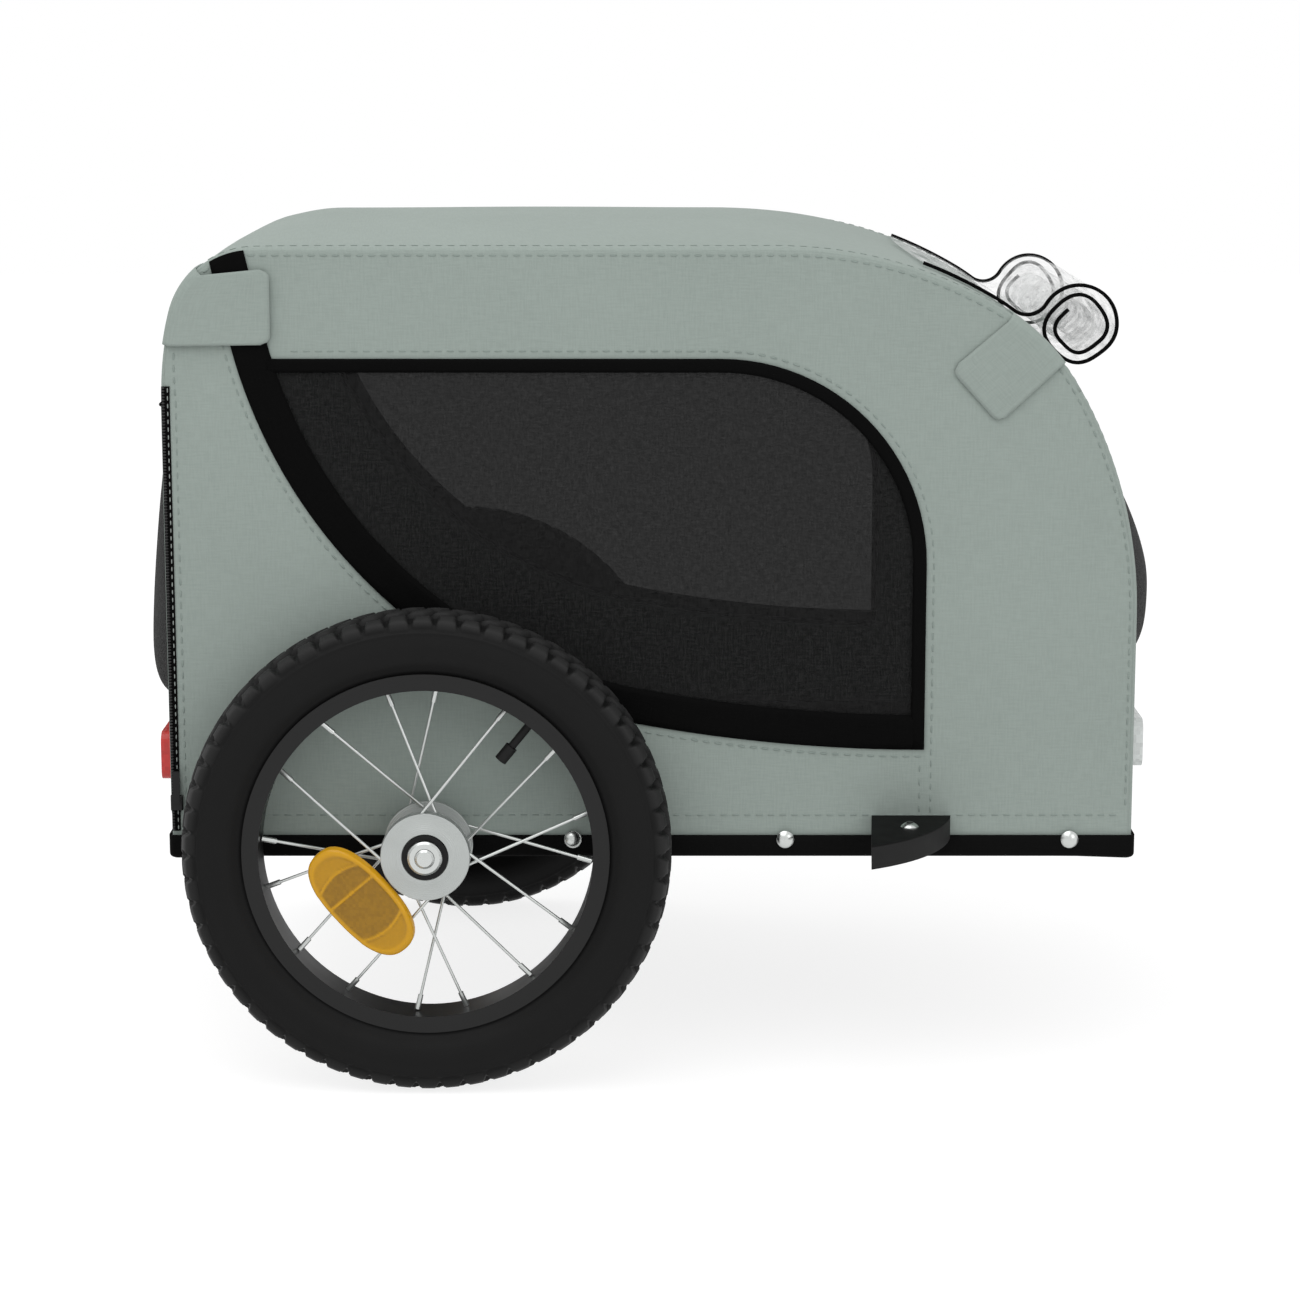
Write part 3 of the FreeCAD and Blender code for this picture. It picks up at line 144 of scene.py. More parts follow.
class TrailerColours(bpy.types.PropertyGroup):
    """Colours of the trailer's finishes."""

    cloth: colour("Cloth", "#9ba6a0", "Grey-green cabin cloth")
    thread: colour("Thread", "#8d9993", "Sewing thread in the cabin cloth")
    tape: colour("Tape", "#060606", "Black webbing round windows and edges")
    net: colour("Net", "#1b1b1b", "Black net of windows and doors")
    zip_thread: colour("Zip thread", "#959b97", "Pale stitches along the rear zips")
    rubber: colour("Rubber", "#0d0d0d", "Tyre rubber")
    # Painted highlight: the tread blocks get this lighter colour, which stands in for the light that falls on
    # them
    tread: colour("Tread", "#282828", "Worn tops of the tyres' tread blocks")
    enamel: colour("Enamel", "#131313", "Black enamel of rims and frame")
    plastic: colour("Plastic", "#0c0c0c", "Black moulded plastic")
    # Wheel guards: the curved face is lighter than the black plastic as painted light from the front, and the
    # top gets painted shade
    lit_guard_face: colour("Grained plastic", "#2b2b2b", "Curved faces of the wheel guards")
    alloy: colour("Alloy", "#b4b8b6", "Hub discs")
    zinc: colour("Zinc", "#c6c9c7", "Spokes and bolts")
    amber: colour("Amber", "#d9a010", "Rim and ribs of the spoke reflectors")
    amber_face: colour("Amber face", "#a07512", "Prism field of the spoke reflectors")
    red: colour("Red", "#d1403b", "Rear reflectors")
    clear: colour("Clear", "#e6e9e8", "Rain cover and front reflectors")


class TrailerSizes(bpy.types.PropertyGroup):
    """Sizes of the sewn and moulded details."""

    cloth: length("Cloth", 0.0020, "Thickness of the cabin cloth")
    stitch: length("Stitch", 0.0054, "Length of one stitch")
    stitch_pitch: length("Stitch pitch", 0.0086, "From one stitch to the next")
    stitch_width: length("Thread", 0.0013, "Width of the sewing thread")
    seam: length("Seam", 0.0085, "From a sewn edge to its row of stitches")
    hem_seam: length("Hem seam", 0.0127, "From the black hem up to its row of stitches")
    side_seam: length("Side seam", 0.0030, "From a side's edge to its row of stitches, ahead of the zips")
    ripple: length("Ripple", 0.0010, "Unevenness of the stretched cloth")
    tread: length("Tread", 0.0038, "Depth of the tyre's tread")
    tread_blocks: IntProperty(name="Tread blocks", description="Shoulder blocks round a tyre", default=62,
                              min=8)


class TrailerStage(bpy.types.PropertyGroup):
    """Floor, light and camera."""

    floor: length("Floor", 16.0, "Side of the floor")
    camera: FloatVectorProperty(name="Camera", description="Camera's place", size=3, subtype="TRANSLATION",
                                unit="LENGTH", default=(-0.0014, -2.6389, 0.7656))
    lens: FloatProperty(name="Lens", description="Focal length", default=93.19, min=1, unit="CAMERA")
    pitch: FloatProperty(name="Pitch", description="Camera's tilt down", default=np.radians(10.477),
                         subtype="ANGLE")
    sky: FloatProperty(name="Sky", description="Strength of the light from all round", default=0.62, min=0)
    lamp: FloatProperty(name="Lamp", description="Power of the overhead lamp", default=26.0, min=0,
                        subtype="POWER")


# Meshes

def grid(*parts):
    """Points whose coordinates are the parts, each spread over the rows and columns of the others."""
    return np.stack(np.broadcast_arrays(*parts), -1)


def cells(rows, columns, wrap=False, hole=None):
    """Four-cornered faces of a grid of points; wrap joins its last column to its first, and the cells
    of a hole are left out."""
    index = np.arange(rows * columns).reshape(rows, columns)
    if wrap:
        index = np.hstack([index, index[:, :1]])
    faces = np.stack([index[:-1, :-1], index[:-1, 1:], index[1:, 1:], index[1:, :-1]], -1)
    return faces.reshape(-1, 4) if hole is None else faces[~hole]


def make(name, points, faces, stock, body="chassis", uv=None, outward=None, closed=False, stands_for=(),
         tint=None):
    """New piece from points and faces. An open sheet faces away from the point outward; a closed
    one is merged and its faces are turned out. uv is in metres along and across the cloth, and tint
    marks raised places."""
    finish, slot = stock
    points = np.asarray(points, float).reshape(-1, 3)
    if outward is not None:
        corner = points[faces]
        normal = np.cross(corner[:, 2] - corner[:, 0], corner[:, 3] - corner[:, 1])
        if np.sum(normal * (corner.mean(1) - outward)) < 0:
            faces = faces[:, ::-1]
    mesh = bpy.data.meshes.new(name)
    mesh.from_pydata(points.tolist(), [], [list(map(int, face)) for face in faces])
    if uv is not None:
        corners = np.zeros(len(mesh.loops), np.int32)
        mesh.loops.foreach_get("vertex_index", corners)
        layer = mesh.uv_layers.new(name="cut")
        layer.uv.foreach_set("vector", np.asarray(uv, np.float32).reshape(-1, 2)[corners].ravel())
    if tint is not None:
        raised = mesh.attributes.new("raised", "FLOAT", "POINT")
        raised.data.foreach_set("value", np.ravel(tint).astype(np.float32))
    work = bmesh.new()
    work.from_mesh(mesh)
    bmesh.ops.delete(work, geom=[v for v in work.verts if not v.link_faces], context="VERTS")
    if closed:
        bmesh.ops.remove_doubles(work, verts=work.verts, dist=1e-6)
        bmesh.ops.recalc_face_normals(work, faces=work.faces)
    work.to_mesh(mesh)
    work.free()
    mesh.shade_smooth()
    mesh.materials.append(finishes()[finish])
    piece = bpy.data.objects.new(name, mesh)
    bpy.context.scene.collection.objects.link(piece)
    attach(piece, body)
    if stands_for:
        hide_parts(*stands_for)
    return piece


def lay(name, points, uv, stock, node, thickness=0.0, body="chassis", wrap=False, hole=None,
        outward=CABIN_MIDDLE):
    """Sheet on a grid of points, which stands for a node. Its thickness goes inwards from its outer face."""
    faces = cells(*points.shape[:2], wrap, hole)
    piece = make(name, points, faces, stock, body, uv=uv, outward=outward, stands_for=[node])
    if thickness:
        wall = piece.modifiers.new("thickness", "SOLIDIFY")
        wall.thickness = thickness
        wall.offset = -1
        wall.use_even_offset = True
        piece.data.set_sharp_from_angle(angle=np.radians(40))
    return piece


def unit(vectors):
    """Vectors made one long."""
    return vectors / np.linalg.norm(vectors, axis=-1, keepdims=True)


def run_of(line):
    """Run along a line of points: 0 at its start, then the sum of its steps."""
    return np.concatenate([[0], np.cumsum(np.linalg.norm(np.diff(line, axis=0), axis=1))])


def points_at(at, run, line):
    """Points of a line at places of its run."""
    return np.stack([np.interp(at, run, values) for values in line.T], -1)


def dense(line, step=0.002):
    """Line with more points, a step apart."""
    run = run_of(line)
    return points_at(np.linspace(0, run[-1], int(run[-1] / step) + 2), run, line)


def sweep(path, normal, profile):
    """Closed profile carried along a path: each ring is the path's point plus the profile's first
    coordinate across (normal x tangent) and its second along the normal. Gives points and faces
    with both ends capped."""
    tangent = unit(np.gradient(path, axis=0))
    normal = np.broadcast_to(normal, path.shape)
    across = unit(np.cross(normal, tangent))
    up = np.cross(tangent, across)
    rings = path[:, None] + profile[None, :, :1] * across[:, None] + profile[None, :, 1:] * up[:, None]
    count = len(profile)
    faces = list(cells(len(path), count, wrap=True))
    last = (len(path) - 1) * count
    return rings.reshape(-1, 3), faces + [np.arange(count)[::-1], last + np.arange(count)]


def circle(radius, sides):
    """Points of a circle, as a profile."""
    angle = np.arange(sides) * 2 * np.pi / sides
    return radius * np.stack([np.cos(angle), np.sin(angle)], -1)


def bead(rings=5, sides=8):
    """Template of a small rounded grain, 1 long, 1 wide and 1 high: an ellipsoid with blunt ends."""
    along = np.linspace(-np.pi / 2, np.pi / 2, rings)[:, None]
    around = np.arange(sides)[None] * 2 * np.pi / sides
    girth = np.cos(along) ** 0.5
    points = grid(np.sin(along) / 2, girth * np.cos(around) / 2, girth * np.sin(around) / 2)
    return points.reshape(-1, 3), cells(rings, sides, wrap=True)


def row_of_beads(path, normal, pitch, size):
    """Grains set along a path at a pitch, each with its length along the path, its width across
    and its height along the normal. Gives points and faces."""
    run = run_of(path)
    count = max(1, int(run[-1] / pitch))
    at = (np.arange(count) + 0.5) * run[-1] / count
    middle = points_at(at, run, path)
    along = unit(points_at(at + pitch / 8, run, path) - points_at(at - pitch / 8, run, path))
    up = points_at(at, run, np.broadcast_to(normal, path.shape))
    across = unit(np.cross(up, along))
    axes = np.stack([along, across, np.cross(along, across)], 1)
    template, quads = bead()
    points = middle[:, None] + (template * np.asarray(size)) @ axes
    faces = quads[None] + np.arange(count)[:, None, None] * len(template)
    return points.reshape(-1, 3), faces.reshape(-1, 4)


def joined(parts):
    """Several lots of points and faces as one."""
    starts = np.cumsum([0] + [len(points) for points, faces in parts[:-1]])
    return (np.concatenate([points for points, faces in parts]),
            [np.asarray(face) + start for (points, faces), start in zip(parts, starts) for face in faces])


def ripple(a, b, size):
    """Slow unevenness of stretched cloth, from -1 to 1: three crossing sine waves of about that length."""
    k = 2 * np.pi / size
    return (np.sin(k * (a + 0.31 * b)) + np.sin(k * (0.83 * b - 0.47 * a) + 1.3)
            + np.sin(k * 1.7 * (0.6 * a + 0.8 * b) + 2.1)) / 3


def spaced(*marks, step):
    """Values from the first mark to the last, about a step apart, with each mark among them."""
    pieces = [np.linspace(low, high, max(2, int(abs(high - low) / step) + 1))[:-1]
              for low, high in zip(marks[:-1], marks[1:])]
    return np.concatenate(pieces + [[marks[-1]]])


def smooth_line(knots, count):
    """Curve through knots: each stretch is a cubic whose slopes are those of its neighbours' chords."""
    knots = np.asarray(knots, float)
    ends = np.vstack([2 * knots[0] - knots[1], knots, 2 * knots[-1] - knots[-2]])
    slope = (ends[2:] - ends[:-2]) / 2
    at = np.linspace(0, len(knots) - 1, count)
    i = np.minimum(at.astype(int), len(knots) - 2)
    t = (at - i)[:, None]
    return ((2 * t ** 3 - 3 * t ** 2 + 1) * knots[i] + (t ** 3 - 2 * t ** 2 + t) * slope[i]
            + (3 * t ** 2 - 2 * t ** 3) * knots[i + 1] + (t ** 3 - t ** 2) * slope[i + 1])


def ease(share):
    """Smooth step from 0 to 1."""
    share = np.clip(share, 0, 1)
    return share * share * (3 - 2 * share)


def step_up(value, low, high, soft):
    """1 between low and high, 0 outside, with soft slopes."""
    rise = np.clip((value - low) / soft + 0.5, 0, 1)
    fall = np.clip((high - value) / soft + 0.5, 0, 1)
    return np.minimum(rise, fall)


def rounded_end(share, width, radius):
    """How far a strip's end is cut back at a share of its width, so that both its corners are round."""
    away = np.minimum(share, 1 - share) * width
    inside = np.clip(radius - away, 0, radius)
    return radius - np.sqrt(np.maximum(radius ** 2 - inside ** 2, 0))


def doorway(lines, across, low, high, half):
    """Cells of a grid between two of its lines and within half a width of its middle."""
    reach = np.maximum(np.abs(across[:-1]), np.abs(across[1:]))
    return (lines[:-1, None] >= low - 1e-6) & (lines[1:, None] <= high + 1e-6) & (reach <= half + 1e-6)


# Outline of the cover

def facing(turn):
    """x and z of a direction, from its turn in degrees."""
    turn = np.radians(turn)
    return np.stack([np.sin(turn), np.cos(turn)], -1)


def arc_run(centre, radius, first, last):
    """Points and outward normals of an arc."""
    out = facing(np.linspace(first, last, ARC_POINTS))
    return centre + radius * out, out


def cover_line():
    """Outline of the cabin from its rear foot over the roof to its front foot: straight legs and
    tangent arcs. Holds the run along it, x, z, the outward normal, and how far each point moves per
    metre of roof crown: it grows over CROWN_RISE from the rear, and the brow's arc grows about its
    front end. The marks are the runs at which its stretches end."""
    def risen(points, drawn):
        return np.stack([drawn, ease((points[:, 0] - REAR_X - CROWN_START) / CROWN_RISE)], -1)

    rear_fall, front_fall = (sum(r * abs(facing(b)[1] - facing(a)[1]) for a, b, r in arcs)
                             for arcs in (REAR_ARCS, FRONT_ARCS))
    point = np.array([REAR_X, ROOF_Z - rear_fall])
    runs = [(np.array([[REAR_X, FOOT_Z], point]), np.array([[-1.0, 0.0]] * 2), np.zeros((2, 2)))]
    for first, last, radius in REAR_ARCS:
        centre = point - radius * facing(first)
        points, out = arc_run(centre, radius, first, last)
        runs.append((points, out, risen(points, np.zeros(len(points)))))
        point = centre + radius * facing(last)
    ahead = []
    rear_end = point
    point = np.array([FRONT_X, ROOF_Z - front_fall])
    leg = (np.array([point, [FRONT_X, FOOT_Z]]), np.array([[1.0, 0.0]] * 2), np.zeros((2, 2)))
    for first, last, radius in reversed(FRONT_ARCS):
        centre = point - radius * facing(last)
        points, out = arc_run(centre, radius, first, last)
        crown = brow_crown(out) if first == 0 else np.zeros(points.shape)
        ahead.insert(0, (points, out, crown))
        point = centre + radius * facing(first)
    flat = np.linspace(rear_end, point, FLAT_POINTS)
    drawn = np.linspace(0, ahead[0][2][0, 0], FLAT_POINTS)
    runs += [(flat, np.broadcast_to([0.0, 1.0], flat.shape), risen(flat, drawn))] + ahead + [leg]
    points, out, crown = (np.concatenate([run[i] for run in runs]) for i in range(3))
    step = np.linalg.norm(np.diff(points, axis=0), axis=1)
    along = np.concatenate([[0], np.cumsum(np.maximum(step, 1e-7))])
    ends = along[np.cumsum([len(run[0]) for run in runs]) - 1]
    marks = dict(zip(("rear_turn", "corner", "roof", "flat", "brow", "face", "front_turn", "foot"), ends))
    return along, np.hstack([points, out, crown]), marks


def brow_crown(out):
    """How far a point of the brow's arc moves per metre of crown, from its outward normal."""
    front = facing(BROW_TURN)
    return (out - front) / (1 - front[1])


RUN, COVER, MARK = cover_line()
ROOF_START = MARK["rear_turn"] - ROOF_LAP
ROOF_END = MARK["face"]


def cover_at(run):
    """x, z, normal and crown share of the outline at a run along it."""
    return [np.interp(run, RUN, COVER[:, i]) for i in range(6)]


def cover_normal(run):
    """Outward normal of the cover at a run along its outline."""
    out_x, out_z = cover_at(run)[2:4]
    return grid(out_x, 0.0, out_z)


def arched(y):
    """Share of the roof's crown at a place across it: a parabola."""
    return 1 - (y / HALF_Y) ** 2


def on_cover(run, y, lift=0.0):
    """Point of the cover at a run along its outline and a place across it, lifted off it by a
    distance."""
    x, z, out_x, out_z, crown_x, crown_z = cover_at(run)
    crown = ROOF_CROWN * arched(y)
    return grid(x + out_x * lift + crown_x * crown, y, z + out_z * lift + crown_z * crown)


def run_at_rear(z):
    """Run along the outline at a height of the cabin's rear."""
    rear = RUN <= MARK["roof"]
    return np.interp(z, COVER[rear, 1], RUN[rear])


def run_at_front(z):
    """Run along the outline at a height of the cabin's front."""
    front = RUN > MARK["brow"]
    return np.interp(-z, -COVER[front, 1], RUN[front])


def over_edge(across):
    """Cloth that runs across the cover lies flat to EDGE_R from its side, then turns down a quarter
    round. Gives y and the dip."""
    flat = HALF_Y - EDGE_R
    angle = np.clip((np.abs(across) - flat) / EDGE_R, 0, np.pi / 2)
    y = np.sign(across) * (np.minimum(np.abs(across), flat) + EDGE_R * np.sin(angle))
    return y, EDGE_R * (1 - np.cos(angle))


ACROSS_END = HALF_Y - EDGE_R + EDGE_R * np.pi / 2
TURNED = EDGE_STEP * np.arange(3)
ACROSS = np.concatenate([TURNED - ACROSS_END, spaced(EDGE_R - HALF_Y, HALF_Y - EDGE_R, step=0.010),
                         ACROSS_END - TURNED[::-1]])


def side_outline(inset, rear_inset=None):
    """Line of the side from its rear foot over the roof to its front foot, inside the cover's by a
    distance, which may be another one up the rear and changes over in the rear corner."""
    run = np.linspace(0, RUN[-1], 900)
    x, z, out_x, out_z = cover_at(run)[:4]
    within = np.interp(run, [MARK["rear_turn"], MARK["corner"]], [rear_inset or inset, inset])
    return np.stack([x - out_x * within, z - out_z * within], -1)


def on_side(plane, side, off):
    """Points of a side, from x, z and how far off the cabin's middle they lie."""
    return grid(plane[..., 0], side * off, plane[..., 1])


# Side window

def band_point(cut, turn):
    """x and z of the window's lower and rear edge at a turn, moved into the window by cut: a wide
    sill arc up to SILL_TURN, then the tighter arc of the band."""
    cut, turn = np.broadcast_arrays(cut, turn)
    sill = np.array([WINDOW_FRONT_X, WINDOW_SILL_Z + SILL_R])
    rear = sill - (SILL_R - BAND_R) * facing(SILL_TURN)
    low = turn <= SILL_TURN
    centre = np.where(low[..., None], sill, rear)
    return centre - (np.where(low, SILL_R, BAND_R) - cut)[..., None] * facing(turn)


def band_x(cut, z):
    """x of the band's edge at a height."""
    line = band_point(cut, np.linspace(0, BAND_END, 400))
    return np.interp(z, line[:, 1], line[:, 0])


def window_upper(cut, start_x, end_z):
    """Window's top, rounded corner and front edge, moved into the window by cut."""
    top_count, corner_count, front_count = WINDOW_COUNTS
    centre = np.array([WINDOW_FRONT_X, WINDOW_TOP_Z]) - WINDOW_CORNER_R
    corner = centre + (WINDOW_CORNER_R - cut) * facing(np.linspace(0, 90, corner_count))
    top = grid(np.linspace(start_x, corner[0, 0], top_count + 1)[:-1], corner[0, 1])
    front = grid(corner[-1, 0], np.linspace(corner[-1, 1], end_z, front_count + 1)[1:])
    return np.concatenate([top, corner, front])


def window_loop(cut, band_cut):
    """Closed outline of the window, moved in along the tape and along the band."""
    top_z = WINDOW_TOP_Z - cut
    lower = band_point(band_cut, np.linspace(0, BAND_END, 900))
    lower = lower[(lower[:, 0] < WINDOW_FRONT_X - cut - 1e-4) & (lower[:, 1] < top_z - 1e-4)]
    return np.concatenate([window_upper(cut, band_x(band_cut, top_z), lower[0, 1]), lower])


def polar(points, centre):
    """Angle and distance of points seen from a centre, in order of angle."""
    away = points - centre
    angle = np.arctan2(away[:, 1], away[:, 0])
    order = np.argsort(angle)
    return angle[order], np.hypot(*away.T)[order]


def ring(inner, outer, centre, rays, shares):
    """Grid between two outlines round a centre: each ray is cut by both, and the shares give its points."""
    near = np.interp(rays, *polar(inner, centre), period=2 * np.pi)
    far = np.interp(rays, *polar(outer, centre), period=2 * np.pi)
    way = np.stack([np.cos(rays), np.sin(rays)], -1)
    reach = near + (far - near) * shares[:, None]
    return centre + way[None] * reach[..., None]


# Materials

def add(tree, kind, links=None, **values):
    """Adds a node and gives its outputs: values are its settings, links its inputs, where a socket is
    linked and the rest is set."""
    node = tree.nodes.new(kind)
    for key, value in values.items():
        setattr(node, key, value)
    for key, value in (links or {}).items():
        if isinstance(value, bpy.types.NodeSocket):
            tree.links.new(value, node.inputs[key])
        else:
            node.inputs[key].default_value = value
    return node.outputs


def start(name):
    """Empty material."""
    finish = bpy.data.materials.new(name)
    finish.use_nodes = True
    finish.node_tree.nodes.clear()
    return finish


def span(base, low, high):
    """Both colours of a colour mix, by socket: the base made darker and lighter."""
    base = np.array(base)
    return {6: (*(base * low), 1), 7: (*np.minimum(base * high, 1), 1)}


def weave(tree, cut, thread, slub, detail):
    """Two sets of uneven threads that cross at right angles: noise drawn out along each set, and both
    added up. slub is a thread's width over the length at which it changes."""
    ways = [add(tree, "ShaderNodeMapping", {"Vector": cut, "Scale": scale})[0]
            for scale in ((1 / thread, slub / thread, 1), (slub / thread, 1 / thread, 1))]
    yarns = [add(tree, "ShaderNodeTexNoise", {"Vector": way, "Scale": 1.0, "Detail": detail},
                 noise_dimensions="2D")[0] for way in ways]
    return add(tree, "ShaderNodeMath", {0: yarns[0], 1: yarns[1]}, operation="ADD")[0]


def cloth_finish(name, base, thread, contrast, rough, level, sheen):
    """Plain-woven polyester with a coated back: two sets of uneven threads cross at right angles, so
    the eye sees a fine, slightly slubbed grid. The thread is drawn coarser than the real 0.4 mm, so
    that it shows."""
    tree = start(name).node_tree
    cut = add(tree, "ShaderNodeUVMap", uv_map="cut")[0]
    threads = weave(tree, cut, thread, 0.1, 2.0)
    grain = add(tree, "ShaderNodeMapRange", {"Value": threads, "From Min": 0.75, "From Max": 1.25})[0]
    cloud = add(tree, "ShaderNodeTexNoise", {"Vector": cut, "Scale": 9.0, "Detail": 3.0},
                noise_dimensions="2D")[0]
    toned = add(tree, "ShaderNodeMath", {0: grain, 1: cloud}, operation="ADD")[0]
    share = add(tree, "ShaderNodeMath", {0: toned, 1: 0.5}, operation="MULTIPLY")[0]
    tone = add(tree, "ShaderNodeMix", {"Factor": share, **span(base, 1 - contrast, 1 + contrast)},
               data_type="RGBA")[2]
    bump = add(tree, "ShaderNodeBump", {"Height": threads, "Strength": 0.35, "Distance": thread / 4})[0]
    shader = add(tree, "ShaderNodeBsdfPrincipled", {"Base Color": tone, "Roughness": rough,
                                                    "Specular IOR Level": level, "Sheen Weight": sheen,
                                                    "Sheen Roughness": 0.5, "Normal": bump})[0]
    add(tree, "ShaderNodeOutputMaterial", {"Surface": shader})


def net_finish(name, base, thread, cover):
    """Fine knitted polyester net: uneven dark threads with tiny holes between them, seen as a dark
    grainy veil that lets about a tenth of what lies behind through. The threads are drawn coarser
    than the real 0.3 mm, so that they show."""
    tree = start(name).node_tree
    cut = add(tree, "ShaderNodeUVMap", uv_map="cut")[0]
    threads = weave(tree, cut, thread, 0.2, 1.0)
    grain = add(tree, "ShaderNodeMapRange", {"Value": threads, "From Min": 0.7, "From Max": 1.3})[0]
    veil = add(tree, "ShaderNodeMapRange", {"Value": grain, "To Min": cover - 0.05,
                                            "To Max": cover + 0.04})[0]
    tone = add(tree, "ShaderNodeMix", {"Factor": grain, **span(base, 0.7, 1.3)}, data_type="RGBA")[2]
    bump = add(tree, "ShaderNodeBump", {"Height": threads, "Strength": 0.3, "Distance": thread / 4})[0]
    shader = add(tree, "ShaderNodeBsdfPrincipled", {"Base Color": tone, "Roughness": 0.8, "Alpha": veil,
                                                    "Specular IOR Level": 0.15, "Normal": bump})[0]
    add(tree, "ShaderNodeOutputMaterial", {"Surface": shader})


def solid_finish(name, base, rough, grit, metallic=0.0, contrast=0.15, relief=0.1, level=0.5, rings=0.0,
                 painted_dark_above=0.0, lit_raised=None):
    """Moulded, painted or plated surface: an even colour with faint clouding and a fine grit, whose
    size is in metres, that breaks up its highlights. rings is the pitch of turning marks round the
    axle. A face at a given height gets painted shade, a fifth of the base colour, and places that
    the piece marks as raised get a given lighter colour as painted highlight."""
    tree = start(name).node_tree
    place = add(tree, "ShaderNodeTexCoord")["Object"]
    grain = add(tree, "ShaderNodeTexNoise", {"Vector": place, "Scale": 1 / grit, "Detail": 2.0})[0]
    cloud = add(tree, "ShaderNodeTexNoise", {"Vector": place, "Scale": 0.05 / grit, "Detail": 3.0})[0]
    if rings:
        centred = add(tree, "ShaderNodeMapping", {"Vector": place, "Location": (-AXLE_X, 0, -AXLE_Z)})[0]
        marks = add(tree, "ShaderNodeTexWave", {"Vector": centred, "Scale": np.pi / (10 * rings),
                                                "Distortion": 2.0, "Detail": 2.0, "Detail Scale": 0.3},
                    wave_type="RINGS", rings_direction="Y")[1]
        grain = add(tree, "ShaderNodeMath", {0: grain, 1: marks}, operation="ADD")[0]
    share, low, high = cloud, 1 - contrast, 1 + contrast
    # Painted shade: a face at the given height, the guard's top, gets a fifth of the base colour
    if painted_dark_above:
        height = add(tree, "ShaderNodeSeparateXYZ", {0: place})[2]
        share = add(tree, "ShaderNodeMapRange", {"Value": height, "From Min": painted_dark_above - 0.0004,
                                                 "From Max": painted_dark_above - 0.0012})[0]
        low, high = 0.2, 1.0
    tone = add(tree, "ShaderNodeMix", {"Factor": share, **span(base, low, high)}, data_type="RGBA")[2]
    # Painted highlight: places marked as raised take a lighter colour
    if lit_raised is not None:
        raised = add(tree, "ShaderNodeAttribute", attribute_name="raised")["Fac"]
        tone = add(tree, "ShaderNodeMix", {"Factor": raised, 6: tone, 7: (*lit_raised, 1)}, data_type="RGBA")[2]
    gloss = add(tree, "ShaderNodeMapRange", {"Value": cloud, "To Min": max(rough - 0.08, 0.02),
                                             "To Max": rough + 0.08})[0]
    bump = add(tree, "ShaderNodeBump", {"Height": grain, "Strength": relief, "Distance": grit / 4})[0]
    shader = add(tree, "ShaderNodeBsdfPrincipled", {"Base Color": tone, "Roughness": gloss,
                                                    "Metallic": metallic, "Specular IOR Level": level,
                                                    "Normal": bump})[0]
    add(tree, "ShaderNodeOutputMaterial", {"Surface": shader})


def lens_finish(name, face, rim, prism):
    """Moulded acrylic reflector: clear coloured plastic over a field of small prisms that catch the
    light one by one. Places that the piece marks as raised, its rim and ribs, are brighter."""
    tree = start(name).node_tree
    place = add(tree, "ShaderNodeTexCoord")["Object"]
    field = add(tree, "ShaderNodeTexVoronoi", {"Vector": place, "Scale": 1 / prism, "Randomness": 0.1})
    spark = add(tree, "ShaderNodeSeparateColor", {"Color": field["Color"]})[0]
    sunk = add(tree, "ShaderNodeMix", {"Factor": spark, **span(face, 0.9, 1.1)}, data_type="RGBA")[2]
    raised = add(tree, "ShaderNodeAttribute", attribute_name="raised")["Fac"]
    tone = add(tree, "ShaderNodeMix", {"Factor": raised, 6: sunk, 7: (*rim, 1)}, data_type="RGBA")[2]
    bump = add(tree, "ShaderNodeBump", {"Height": field["Distance"], "Strength": 0.2,
                                        "Distance": prism / 4})[0]
    shader = add(tree, "ShaderNodeBsdfPrincipled", {"Base Color": tone, "Roughness": 0.22, "IOR": 1.49,
                                                    "Coat Weight": 0.1, "Coat Roughness": 0.05,
                                                    "Specular IOR Level": 0.3, "Normal": bump})[0]
    add(tree, "ShaderNodeOutputMaterial", {"Surface": shader})


def clear_finish(name, base):
    """Soft clear PVC sheet: mostly see-through, with milky streaks where it has been rolled and sharp
    highlights."""
    tree = start(name).node_tree
    cut = add(tree, "ShaderNodeUVMap", uv_map="cut")[0]
    stretched = add(tree, "ShaderNodeMapping", {"Vector": cut, "Scale": (120, 22, 1)})[0]
    streak = add(tree, "ShaderNodeTexNoise", {"Vector": stretched, "Scale": 1.0, "Detail": 3.0},
                 noise_dimensions="2D")[0]
    veil = add(tree, "ShaderNodeMapRange", {"Value": streak, "From Min": 0.35, "From Max": 0.7,
                                            "To Min": 0.16, "To Max": 0.58})[0]
    tone = add(tree, "ShaderNodeMix", {"Factor": streak, **span(base, 0.5, 0.95)}, data_type="RGBA")[2]
    bump = add(tree, "ShaderNodeBump", {"Height": streak, "Strength": 0.4, "Distance": 0.002})[0]
    shader = add(tree, "ShaderNodeBsdfPrincipled", {"Base Color": tone, "Roughness": 0.1, "Alpha": veil,
                                                    "IOR": 1.53, "Normal": bump})[0]
    add(tree, "ShaderNodeOutputMaterial", {"Surface": shader})


